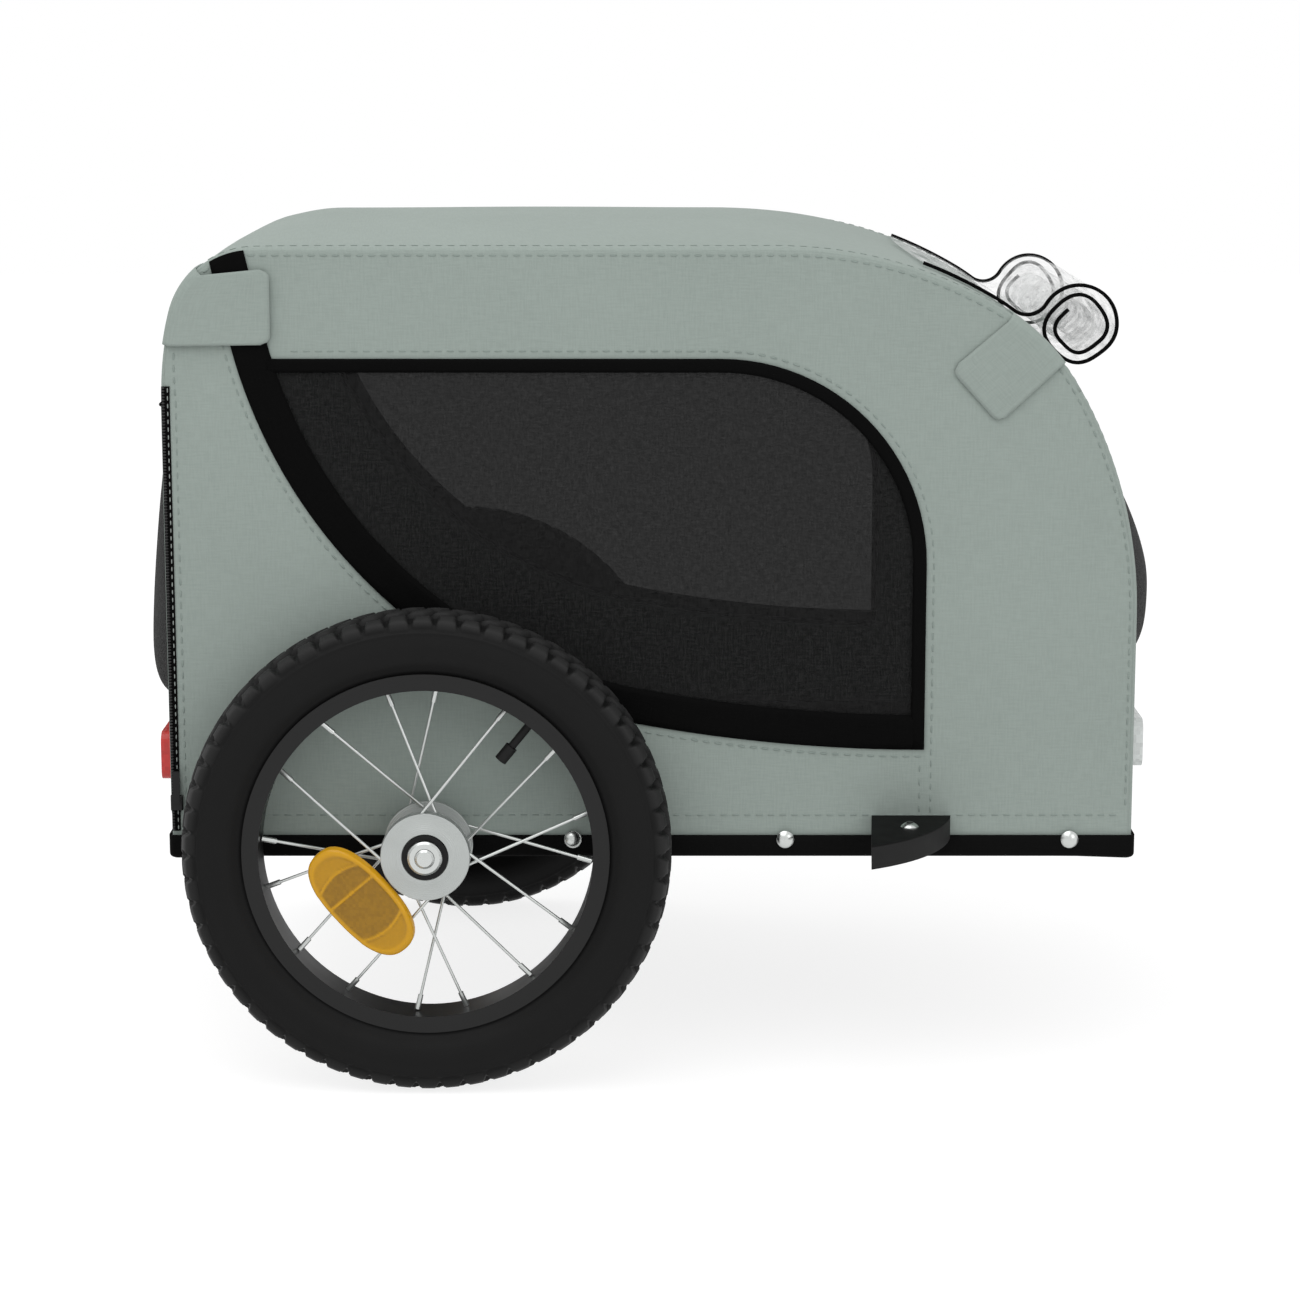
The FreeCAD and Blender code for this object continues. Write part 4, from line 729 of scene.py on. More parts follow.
def finishes():
    """All the materials by name, made on first use."""
    if GREEN_CLOTH[0] not in bpy.data.materials:
        tones = bpy.context.scene.trailer_colours
        cloth_finish("woven polyester grey-green", tones.cloth, 0.0013, 0.075, 0.85, 0.25, 0.06)
        cloth_finish("woven polyester black", tones.tape, 0.0016, 0.3, 0.85, 0.1, 0.0)
        cloth_finish("webbing tape black", tones.tape, 0.0012, 0.3, 0.8, 0.06, 0.0)
        net_finish("knitted net black", tones.net, 0.0014, 0.89)
        solid_finish("polyester thread grey-green", tones.thread, 0.7, 0.0006)
        solid_finish("polyester thread pale", tones.zip_thread, 0.7, 0.0006)
        solid_finish("nylon zip coil black", tones.plastic, 0.45, 0.0008)
        # Tyre rubber: its tread blocks get a lighter colour as painted highlight
        solid_finish("moulded tyre rubber", tones.rubber, 0.6, 0.0012, contrast=0.2, relief=0.25, level=0.17,
                     lit_raised=tones.tread)
        solid_finish("soft black rubber", tones.plastic, 0.6, 0.0010, level=0.25)
        solid_finish("black enamel on steel", tones.enamel, 0.34, 0.0020, relief=0.05, level=0.28)
        solid_finish("zinc-plated steel", tones.zinc, 0.30, 0.0010, metallic=0.9, contrast=0.1)
        solid_finish("chromed bolt steel", tones.zinc, 0.27, 0.0010, metallic=1.0, contrast=0.06)
        solid_finish("turned hub alloy", tones.alloy, 0.42, 0.0010, metallic=0.7, contrast=0.1, relief=0.3,
                     rings=0.0014)
        solid_finish("moulded black polypropylene", tones.plastic, 0.42, 0.0007, relief=0.2, level=0.3)
        # Wheel guards: painted light on the curved face, painted shade on the top
        solid_finish("moulded black nylon", tones.lit_guard_face, 0.6, 0.0007, relief=0.15, level=0.06,
                     painted_dark_above=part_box("wheel_guards")[1].z)
        solid_finish("twin-wall floor board", tones.plastic, 0.55, 0.0040, relief=0.2)
        lens_finish("amber acrylic lens", tones.amber_face, tones.amber, 0.0022)
        lens_finish("red acrylic lens", tones.red, tones.red, 0.0030)
        lens_finish("clear acrylic lens", tones.clear, tones.clear, 0.0030)
        clear_finish("clear PVC sheet", tones.clear)
    return bpy.data.materials


# Cloth

def stitch_piece(name, rows, stock=GREEN_THREAD, body="chassis", scale=1.0):
    """One piece of thread from rows of stitches, each a path and the normal of the cloth there."""
    sizes = bpy.context.scene.trailer_sizes
    size = scale * np.array([sizes.stitch, sizes.stitch_width, sizes.stitch_width / 2])
    beads = [row_of_beads(path, normal, scale * sizes.stitch_pitch, size) for path, normal in rows]
    make(name, *joined(beads), stock, body, closed=True)


class TRAILER_OT_side_panels(bpy.types.Operator):
    """Cloth sides, each with its window opening and the stitches round it"""

    bl_idname = "trailer.side_panels"
    bl_label = "Side panels"

    WAVE = 0.26             # length of the cloth's waves
    STILL = 0.010           # no waves up to here above the hem
    RISE = 0.050            # height over which they grow from there
    PROUD = 0.2             # thread's height over the flat side, in heights of the waves
    WINDOW_SEAM = 0.0053    # from the window's tape and band to its rows
    ROW_START = 0.012       # hem's row from the rear, window's row from the band
    ROW_END = 0.010         # hem's row from the front
    APART = 0.004           # between rows where they would meet
    CORNER_ROW = 0.003      # row below the window, from its front edge

    def execute(self, context):
        sizes = context.scene.trailer_sizes
        upper = side_outline(LINING)
        foot = np.linspace(upper[-1], upper[0], 300)[1:-1]
        outer = np.concatenate([upper, foot])
        inner = window_loop(TAPE_WIDTH / 2, BAND_WIDTH / 2)
        corners = np.array([upper[0], upper[-1], inner[0], inner[-1], inner[sum(WINDOW_COUNTS) - 1]])
        rays = np.sort(np.concatenate([np.linspace(-np.pi, np.pi, 420, endpoint=False),
                                       polar(corners, SIDE_CENTRE)[0]]))
        shares = np.concatenate([[0, 0.02, 0.05], np.linspace(0.1, 0.9, 17), [0.94, 0.97, 0.985, 1.0]])
        plane = ring(inner, outer, SIDE_CENTRE, rays, shares)
        above = np.clip((plane[..., 1] - HEM_Z - self.STILL) / self.RISE, 0, 1)
        fade = np.sin(np.pi * shares)[:, None] * above
        swell = sizes.ripple * fade * ripple(plane[..., 0], plane[..., 1], self.WAVE)
        for name, side in SIDES.items():
            piece = lay(name + "_side_cloth", on_side(plane, side, HALF_Y + swell), plane, GREEN_CLOTH,
                        name + "_side_panel", sizes.cloth, wrap=True)
            self.stitch(name, side, sizes)
        return {"FINISHED"}

    def stitch(self, name, side, sizes):
        """Rows along the outline, above the hem, round the window's top and front, under its band,
        and beside its lower front corner."""
        gap = self.WINDOW_SEAM
        hem_row = HEM_Z + sizes.hem_seam
        edge = side_outline(LINING + sizes.side_seam, LINING + sizes.seam)
        edge = edge[edge[:, 1] > hem_row + self.APART]
        hem = np.array([[REAR_X + self.ROW_START, hem_row], [FRONT_X - self.ROW_END, hem_row]])
        window = window_upper(-gap, band_x(BAND_WIDTH, WINDOW_TOP_Z) + self.ROW_START, hem_row)
        below = band_point(-gap, np.linspace(0, BAND_TURN, 200))
        corner_x = WINDOW_FRONT_X - self.CORNER_ROW
        corner = np.array([[corner_x, WINDOW_SILL_Z - gap - self.APART], [corner_x, hem_row]])
        off = HALF_Y + sizes.ripple * self.PROUD
        rows = [(on_side(dense(line), side, off), np.array([0, side, 0.0]))
                for line in (edge, hem, window, below, corner)]
        stitch_piece(name + "_side_stitches", rows)


class TRAILER_OT_roof(bpy.types.Operator):
    """Crowned roof cloth with a row of stitches along both edges"""

    bl_idname = "trailer.roof"
    bl_label = "Roof"

    WAVE = 0.3              # length of the cloth's waves
    SAG = 0.8               # their height, in heights of the sides' waves
    ROW_START = 0.010       # rows from the rear corner
    ROW_END = 0.004         # rows from the front seam
    SEAM_ROW = 0.006        # cross row from the front seam
    SEAM_HALF = 0.215       # half of its length

    def execute(self, context):
        sizes = context.scene.trailer_sizes
        run = spaced(ROOF_START, MARK["rear_turn"], MARK["corner"], MARK["roof"], MARK["flat"],
                     MARK["brow"], ROOF_END, step=0.006)
        y, dip = over_edge(ACROSS)
        sag = sizes.ripple * self.SAG * ripple(run[:, None], ACROSS[None], self.WAVE) * arched(y)
        points = on_cover(run[:, None], y[None], sag - dip[None])
        piece = lay("roof_cloth", points, grid(run[:, None], ACROSS), GREEN_CLOTH, "roof_panel", sizes.cloth)
        along = np.linspace(MARK["corner"] + self.ROW_START, ROOF_END - self.ROW_END, 600)
        rows = [(on_cover(along, side * (HALF_Y - sizes.seam), THREAD_LIFT), cover_normal(along))
                for side in SIDES.values()]
        wide = np.linspace(-self.SEAM_HALF, self.SEAM_HALF, 300)
        out_x, out_z = facing(SHOULDER_TURN)
        rows.append((on_cover(ROOF_END - self.SEAM_ROW, wide, THREAD_LIFT), np.array([out_x, 0, out_z])))
        stitch_piece("roof_stitches", rows)
        return {"FINISHED"}


class TRAILER_OT_end_panels(bpy.types.Operator):
    """Cloth of the front with its doorway, and the strip below the rear door"""

    bl_idname = "trailer.end_panels"
    bl_label = "Front and rear panels"

    PLAY = 0.0005           # round the front door
    BUTT = 0.0003           # between roof and front cloth
    EDGE_ROW = 0.0075       # rows from the front's sides
    DOOR_ROW = 0.007        # rows from the doorway
    SEAM_ROW = 0.0065       # row from the roof's seam
    APART = 0.006           # between rows where they would meet
    ROW_END = 0.012         # cross rows from the front's sides

    def execute(self, context):
        sizes = context.scene.trailer_sizes
        low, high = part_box("front_door_border")
        top, bottom = run_at_front(high.z + self.PLAY), run_at_front(low.z - self.PLAY)
        half = high.y + self.PLAY
        run = spaced(ROOF_END + self.BUTT, top, bottom, RUN[-1], step=0.008)
        across = np.sort(np.concatenate([ACROSS[np.abs(np.abs(ACROSS) - half) > 0.002], [-half, half]]))
        y, dip = over_edge(across)
        points = on_cover(run[:, None], y[None], -dip[None])
        piece = lay("front_cloth", points, grid(run[:, None], across), GREEN_CLOTH, "front_panel",
                    sizes.cloth, hole=doorway(run, across, top, bottom, half))
        low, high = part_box("rear_panel")
        tall = spaced(low.z, high.z, step=0.006)
        y, dip = over_edge(ACROSS)
        strip = lay("rear_cloth", grid(REAR_X + dip, y, tall[:, None]), grid(tall[:, None], ACROSS),
                    GREEN_CLOTH, "rear_panel", sizes.cloth)
        self.stitch(sizes, half, top, bottom)
        return {"FINISHED"}

    def stitch(self, sizes, half, top, bottom):
        """Rows down both edges of the front, above its hem, and round the doorway."""
        end = run_at_front(HEM_Z + sizes.hem_seam)
        along = np.linspace(ROOF_END + self.APART, end - self.APART, 400)
        beside = along[(along > top - self.APART) & (along < bottom + self.APART)]
        rows = [(on_cover(run, side * off, THREAD_LIFT), cover_normal(run)) for side in SIDES.values()
                for run, off in ((along, HALF_Y - self.EDGE_ROW), (beside, half + self.DOOR_ROW))]
        wide = HALF_Y - self.ROW_END
        for run, reach in ((end, wide), (ROOF_END + self.SEAM_ROW, wide),
                           (top - self.DOOR_ROW, half), (bottom + self.DOOR_ROW, half)):
            rows.append((on_cover(run, np.linspace(-reach, reach, 300), THREAD_LIFT), cover_normal(run)))
        stitch_piece("front_stitches", rows)


class TRAILER_OT_windows(bpy.types.Operator):
    """Window nets, the narrow tape above and before them and the wide band below and behind"""

    bl_idname = "trailer.windows"
    bl_label = "Windows"

    INSET = 0.0035          # net's edge from the cloth's, both under the tape
    HEAD = 0.012            # net's rear tip below the window's top
    SINK = 0.0006           # net's edge below the side's face
    HOLLOW = 0.0012         # how far its middle gives
    LAP = 0.004             # tape's rear end on the band
    FOOT = 0.0006           # tape's lower end above the sill
    PROUD = 0.0002          # tape over the band
    TAPE_T = 0.0014         # thickness of tape and band
    PRESS = 0.0006          # how far their edges are pressed down
    ROOF_GAP = 0.0012       # band's upper end from the cover's outline

    def execute(self, context):
        face = -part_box("right_window_trim")[0].y
        for name, side in SIDES.items():
            self.net(name, side)
            self.strip(name, "_window_tape", self.tape(), face + self.PROUD)
            self.strip(name, "_window_band", self.band(), face)
        return {"FINISHED"}

    def net(self, name, side):
        """Flat net: at each x it runs from the band's edge up to the window's top or rounded corner."""
        tape_cut, band_cut = TAPE_WIDTH / 2 + self.INSET, BAND_WIDTH / 2 + self.INSET
        lower = band_point(band_cut, np.linspace(0, BAND_END, 600))
        upper = window_upper(tape_cut, REAR_X, WINDOW_SILL_Z)
        x = np.linspace(band_x(band_cut, WINDOW_TOP_Z - self.HEAD), upper[-1, 0] - 1e-5, 70)
        bottom = np.interp(x, lower[::-1, 0], lower[::-1, 1])
        top = np.interp(x, upper[:, 0], upper[:, 1])
        share = np.linspace(0, 1, 36)
        plane = grid(x[:, None], bottom[:, None] + (top - bottom)[:, None] * share)
        give = np.sin(np.pi * share) * np.sin(np.pi * np.linspace(0, 1, len(x)))[:, None]
        piece = lay(name + "_window_net", on_side(plane, side, HALF_Y - (self.SINK + self.HOLLOW * give)),
                    plane, BLACK_NET, name + "_window_mesh")

    def strip(self, name, kind, plane, off):
        """Tape from lines beside one another; its edges are pressed down."""
        lines = plane.shape[1]
        along = run_of(plane[:, lines // 2])
        press = np.full(lines, off)
        press[[0, -1]] -= self.PRESS
        piece = lay(name + kind, on_side(plane, SIDES[name], press),
                    grid(along[:, None], np.linspace(0, BAND_WIDTH, lines)), BLACK_TAPE,
                    name + "_window_trim", self.TAPE_T)

    def tape(self):
        """Lines of the tape: the window's top and front edge, moved in step by step."""
        start_x = band_x(BAND_WIDTH, WINDOW_TOP_Z) - self.LAP
        return np.stack([window_upper(cut, start_x, WINDOW_SILL_Z + self.FOOT)
                         for cut in np.linspace(0, TAPE_WIDTH, 5)], 1)

    def band(self):
        """Lines of the band, which runs up straight from its arc until it meets the roof's edge."""
        turns = np.linspace(0, BAND_TURN, 90)
        plane = np.stack([band_point(cut, turns) for cut in np.linspace(0, BAND_WIDTH, 7)], 1)
        rise = np.array([-np.cos(np.radians(BAND_TURN)), np.sin(np.radians(BAND_TURN))])
        across = np.array([rise[1], -rise[0]])
        edge = side_outline(self.ROOF_GAP)
        edge = edge[(edge[:, 0] < 0) & (edge[:, 1] > WINDOW_TOP_Z)]
        sideways = edge @ across
        order = np.argsort(sideways)
        reach = np.interp(plane[-1] @ across, sideways[order], (edge @ rise)[order]) - plane[-1] @ rise
        top = plane[-1] + np.linspace(0, 1, 14)[1:, None, None] * reach[None, :, None] * rise
        return np.concatenate([plane, top])


class TRAILER_OT_doors(bpy.types.Operator):
    """Rear and front doors: a sewn border and a net that bellies out"""

    bl_idname = "trailer.doors"
    bl_label = "Doors"

    # Knots of both nets' middle lines: height above the net's foot, and share of its depth
    REAR_BELLY = ((-0.028, 0.26), (-0.033, 0.56), (-0.023, 0.85), (-0.002, 0.97), (0.035, 0.94),
                  (0.085, 0.82), (0.135, 0.65), (0.180, 0.42))
    FRONT_BELLY = ((-0.013, 0.30), (-0.013, 0.60), (0.004, 0.83), (0.031, 0.90), (0.058, 0.85),
                   (0.095, 0.62), (0.130, 0.32))
    FULLNESS = 2.4          # power with which a net flattens towards its sides
    PLAY = 0.0003           # opening past the frame's own net, at each side
    PIPING_R = 0.0015
    STITCH_ROW = 0.006      # from the rear door's edges
    FRONT_HEAD_Z = 0.470    # front door's upper edge

    def execute(self, context):
        self.rear(context.scene.trailer_sizes.cloth)
        self.front(context.scene.trailer_sizes.cloth)
        return {"FINISHED"}

    def border(self, name, body, stock, thickness, points, lines, across, hole, flat, area=None):
        """Flat border on a grid of lines, with the cells inside the hole left out."""
        piece = lay(name, points, grid(lines[:, None], across), stock, body + "_border", thickness, body,
                    hole=doorway(lines, across, *hole))

    def net(self, body, foot, top, belly, half, depth, face, rests):
        """Net that bellies out. Its middle line goes from foot to top through the belly's knots; towards
        both sides it flattens as a power of the place across. face gives the x of the flat doorway at
        a height, and depth is signed."""
        knots = [(foot, 0)] + [(foot + up, share) for up, share in belly] + [(top, 0)]
        middle = smooth_line(knots, 56)
        flat = np.linspace(middle[0, 0], middle[-1, 0], 56)
        y = np.linspace(-half, half, 56)
        full = 1 - np.abs(y / half) ** self.FULLNESS
        z = flat[:, None] + (middle[:, 0] - flat)[:, None] * full
        x = face(z) + depth * np.maximum(middle[:, 1], 0)[:, None] * full
        run = run_of(middle * [1, abs(depth)])[-1]
        piece = lay(body + "_net", grid(x, y, z), grid((flat * run / (flat[-1] - flat[0]))[:, None], y),
                    BLACK_NET, body + "_mesh", body=body)

    def piping(self, body, x, z, half, out):
        """Round piping along a door's head."""
        path = grid(x, np.linspace(-half, half, 40), z)
        make(body + "_piping", *sweep(path, np.array([out, 0, 0]), circle(self.PIPING_R, 10)), BLACK_TAPE,
             body, closed=True)

    def rear(self, thickness):
        """Upright cloth border, with its net, its piping and rows of stitches down its sides and along its
        foot."""
        low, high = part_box("rear_door_border")
        net_low, net_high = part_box("rear_door_mesh")
        half, opening = high.y, net_high.y + self.PLAY
        head = high.z - self.PIPING_R
        lines = spaced(low.z, net_low.z, net_high.z, head, step=0.010)
        across = spaced(-half, -opening, opening, half, step=0.012)
        self.border("rear_door_cloth", "rear_door", GREEN_CLOTH, thickness,
                    grid(REAR_X, across, lines[:, None]), lines, across, (net_low.z, net_high.z, opening),
                    (2 * half, head - low.z),
                    2 * half * (head - low.z) - 2 * opening * (net_high.z - net_low.z))
        self.net("rear_door", net_low.z, net_high.z, self.REAR_BELLY, opening, net_low.x - REAR_X,
                 lambda z: np.full(z.shape, REAR_X), "rear_door_cloth")
        self.piping("rear_door", REAR_X, head, half, -1.0)
        inset = self.STITCH_ROW
        up = np.linspace(low.z + inset, head - inset, 200)
        over = np.linspace(-half + inset, half - inset, 200)
        rows = [grid(REAR_X, side * (half - inset), up) for side in SIDES.values()]
        rows.append(grid(REAR_X, over, low.z + inset))
        stitch_piece("rear_door_stitches", [(row, np.array([-1.0, 0, 0])) for row in rows], body="rear_door")

    def front(self, thickness):
        """Tape border that follows the cover's outline, with its net and its piping."""
        low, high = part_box("front_door_border")
        net_low, net_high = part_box("front_door_mesh")
        half, opening = high.y, net_high.y + self.PLAY
        marks = [run_at_front(z) for z in (self.FRONT_HEAD_Z, net_high.z, net_low.z, low.z)]
        lines = spaced(*marks, step=0.008)
        across = spaced(-half, -opening, opening, half, step=0.012)
        wide = half - opening
        self.border("front_door_tape", "front_door", BLACK_TAPE, thickness,
                    on_cover(lines[:, None], across[None]), lines, across, (marks[1], marks[2], opening),
                    (wide, 2 * (2 * half + marks[3] - marks[0] - 2 * wide)))
        self.net("front_door", net_low.z, net_high.z, self.FRONT_BELLY, opening, net_high.x - FRONT_X,
                 lambda z: cover_at(run_at_front(z))[0], "front_door_tape")
        x, z = cover_at(marks[0])[:2]
        self.piping("front_door", x, z - self.PIPING_R, half, 1.0)


class TRAILER_OT_floor_cloth(bpy.types.Operator):
    """Black cloth tray that wraps the foot of the frame"""

    bl_idname = "trailer.floor_cloth"
    bl_label = "Floor cloth"

    DIP = 0.0014            # how far its ends hang
    DIP_RUN = 0.05          # length over which they do
    BEND = 0.004            # radius of its corners and of the fold at its foot
    CLOTH_T = 0.0010
    HEAD = 0.0020           # upper edge below the solid's
    FOOT = 0.0012           # underside above the solid's
    RIM = 0.006             # first ring below the upper edge
    TURN_UP = 0.02          # height of its sides in the flat cut

    def execute(self, context):
        """Rings from the upper edge down, round the fold and in under the floor; each is a rectangle with
        round corners."""
        low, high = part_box("floor_cloth")
        top, bottom = high.z - self.HEAD, low.z + self.FOOT
        half = np.array([high.x, high.y])
        bend = self.BEND
        turn = np.linspace(0, np.pi / 2, 6)[1:]
        under = np.linspace(bend, half[1], 20)[1:]
        inset = np.concatenate([[0, 0, 0], bend * (1 - np.cos(turn)), under])
        z = np.concatenate([[top, top - self.RIM, bottom + bend], bottom + bend * (1 - np.sin(turn)),
                            np.full(len(under), bottom)])
        loops = self.loops(half - inset[:, None])
        drop = (top - z) / (top - bottom)
        hang = ease((np.abs(loops[..., 0]) - half[0] + self.DIP_RUN) / self.DIP_RUN)
        points = grid(loops[..., 0], loops[..., 1], z[:, None] - self.DIP * drop[:, None] * hang)
        piece = lay("floor_cloth_black", points, grid(run_of(loops[0]), (z + inset)[:, None]), BLACK_CLOTH,
                    "floor_cloth", self.CLOTH_T, wrap=True, outward=np.array([0, 0, 0.25]))
        return {"FINISHED"}

    def loops(self, size):
        """Rectangles of half sizes with corners rounded by BEND: seven points round each corner, and
        more between corners, so that the long edges have even faces."""
        radius = np.minimum(self.BEND, size[:, 1])[:, None]
        angle = np.arange(4)[:, None] * np.pi / 2 + np.linspace(0, np.pi / 2, 7)
        signs = np.array([(1, 1), (-1, 1), (-1, -1), (1, -1)])
        core = signs[:, None] * (size - radius)[:, None, None]
        corners = core + radius[..., None, None] * np.stack([np.cos(angle), np.sin(angle)], -1)
        following = np.roll(corners, -1, axis=1)[:, :, 0]
        edges = np.linspace(corners[:, :, -1], following, 40, axis=2)[:, :, :-1]
        return np.concatenate([corners[:, :, :-1], edges], 2).reshape(len(size), -1, 2)


class TRAILER_OT_zips(bpy.types.Operator):
    """Zip tapes down the rear corners, with their coil and pale stitches"""

    bl_idname = "trailer.zips"
    bl_label = "Zips"

    FOOT = 0.001            # tapes' lower end above the hem
    WIDE = 0.0004, 0.0066   # tapes' edges ahead of the rear
    RELIEF = (-0.0005, 0, 0.0002, 0, -0.0005)   # of a tape's lines, off its solid
    TAPE_T = 0.0008
    TOOTH = (0.0016, 0.0024, 0.0012)    # along the zip, across it and off it
    TOOTH_PITCH = 0.0022
    TOOTH_LIFT = 0.0004     # teeth's middle off the tape's solid
    SMALL = 0.65            # size of the pale stitches, in sizes of the cabin's

    def execute(self, context):
        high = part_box("rear_zips")[1]
        tall = np.linspace(HEM_Z + self.FOOT, high.z, 60)
        lean = cover_at(run_at_rear(tall))[0]
        wide = np.linspace(*self.WIDE, len(self.RELIEF))
        plane = grid(lean[:, None] + wide, tall[:, None])
        coil, pale = [], []
        for name, side in SIDES.items():
            lay(name + "_zip_tape", on_side(plane, side, high.y + np.array(self.RELIEF)),
                grid(tall[:, None], wide), BLACK_TAPE, "rear_zips", self.TAPE_T)
            out = np.array([0, side, 0.0])
            coil.append(row_of_beads(on_side(dense(plane[:, 1]), side, high.y + self.TOOTH_LIFT), out,
                                     self.TOOTH_PITCH, self.TOOTH))
            pale.append((on_side(dense(plane[:, 3]), side, high.y + THREAD_LIFT), out))
        make("zip_coils", *joined(coil), ZIP_COIL, closed=True)
        stitch_piece("zip_stitches", pale, PALE_THREAD, scale=self.SMALL)
        return {"FINISHED"}


class TRAILER_OT_patches(bpy.types.Operator):
    """Sewn corner patches that wrap from the sides over the roof's edge"""

    bl_idname = "trailer.patches"
    bl_label = "Corner patches"

    LIFT = 0.0016           # patch above the roof
    BEND = 0.0070           # radius of its turn over the roof's edge
    ON_ROOF = 0.0085, 0.036     # its part on the roof, from the cabin's side
    CORNER_R = 0.007
    THIN = 0.6              # thickness, in thicknesses of the cabin's cloth
    FRONT_TURN = 43         # degrees on the shoulder's arc where the front patch sits
    FRONT_LEAN = 48         # degrees of its own lean
    FRONT_HALF = 0.026      # half of its width
    FRONT_DEPTH = 0.058     # its part on the side

    def execute(self, context):
        thickness = context.scene.trailer_sizes.cloth * self.THIN
        for name, side in SIDES.items():
            self.build(name + "_rear_patch", side, "rear_corner_patches", thickness, *self.rear())
            self.build(name + "_front_patch", side, "front_corner_patches", thickness, *self.front())
        return {"FINISHED"}

    def edge(self, run):
        """Line on the side where a patch starts to turn over the roof's edge."""
        x, z, out_x, out_z = cover_at(run)[:4]
        inset = self.BEND - self.LIFT
        return np.stack([x - out_x * inset, z - out_z * inset], -1)

    def build(self, name, side, node, thickness, inner_line, run):
        """Patch that runs straight from its inner line on the side to the cabin's edge, turns a quarter
        round and ends on the roof."""
        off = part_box(node)[1].y
        plane = inner_line[:, None] + (self.edge(run) - inner_line)[:, None] * np.linspace(0, 1, 18)[:, None]
        turn = np.linspace(0, np.pi / 2, 7)[1:]
        corner = on_cover(run[:, None], side * (off - self.BEND + self.BEND * np.cos(turn)),
                          self.LIFT - self.BEND + self.BEND * np.sin(turn))
        roof = on_cover(run[:, None], side * (HALF_Y - np.linspace(*self.ON_ROOF, 8)), self.LIFT)
        points = np.concatenate([on_side(plane, side, off), corner, roof], 1)
        width = run_of(points[len(run) // 2])
        tall = run_of(points[:, 0])
        piece = lay(name, points, grid(tall[:, None], width), GREEN_CLOTH, node, thickness)

    def rear(self):
        """Inner line of a rear patch, upright, and its run over the rear corner."""
        low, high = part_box("rear_corner_patches")
        share = np.linspace(0, 1, 26)
        tall = np.linspace(low.z, high.z, len(share))
        front = high.x - rounded_end(share, high.z - low.z, self.CORNER_R)
        return np.stack([front, tall], -1), run_at_rear(tall)

    def front(self):
        """Inner line of a front patch, which leans with the shoulder, and its run along it."""
        share = np.linspace(0, 1, 24)
        wide = np.linspace(-self.FRONT_HALF, self.FRONT_HALF, len(share))
        middle = MARK["brow"] + SHOULDER_R * np.radians(self.FRONT_TURN - BROW_TURN)
        out = facing(self.FRONT_LEAN)
        across = np.array([out[1], -out[0]])
        depth = self.FRONT_DEPTH - rounded_end(share, 2 * self.FRONT_HALF, self.CORNER_R)
        return self.edge(middle) + wide[:, None] * across - depth[:, None] * out, middle + wide


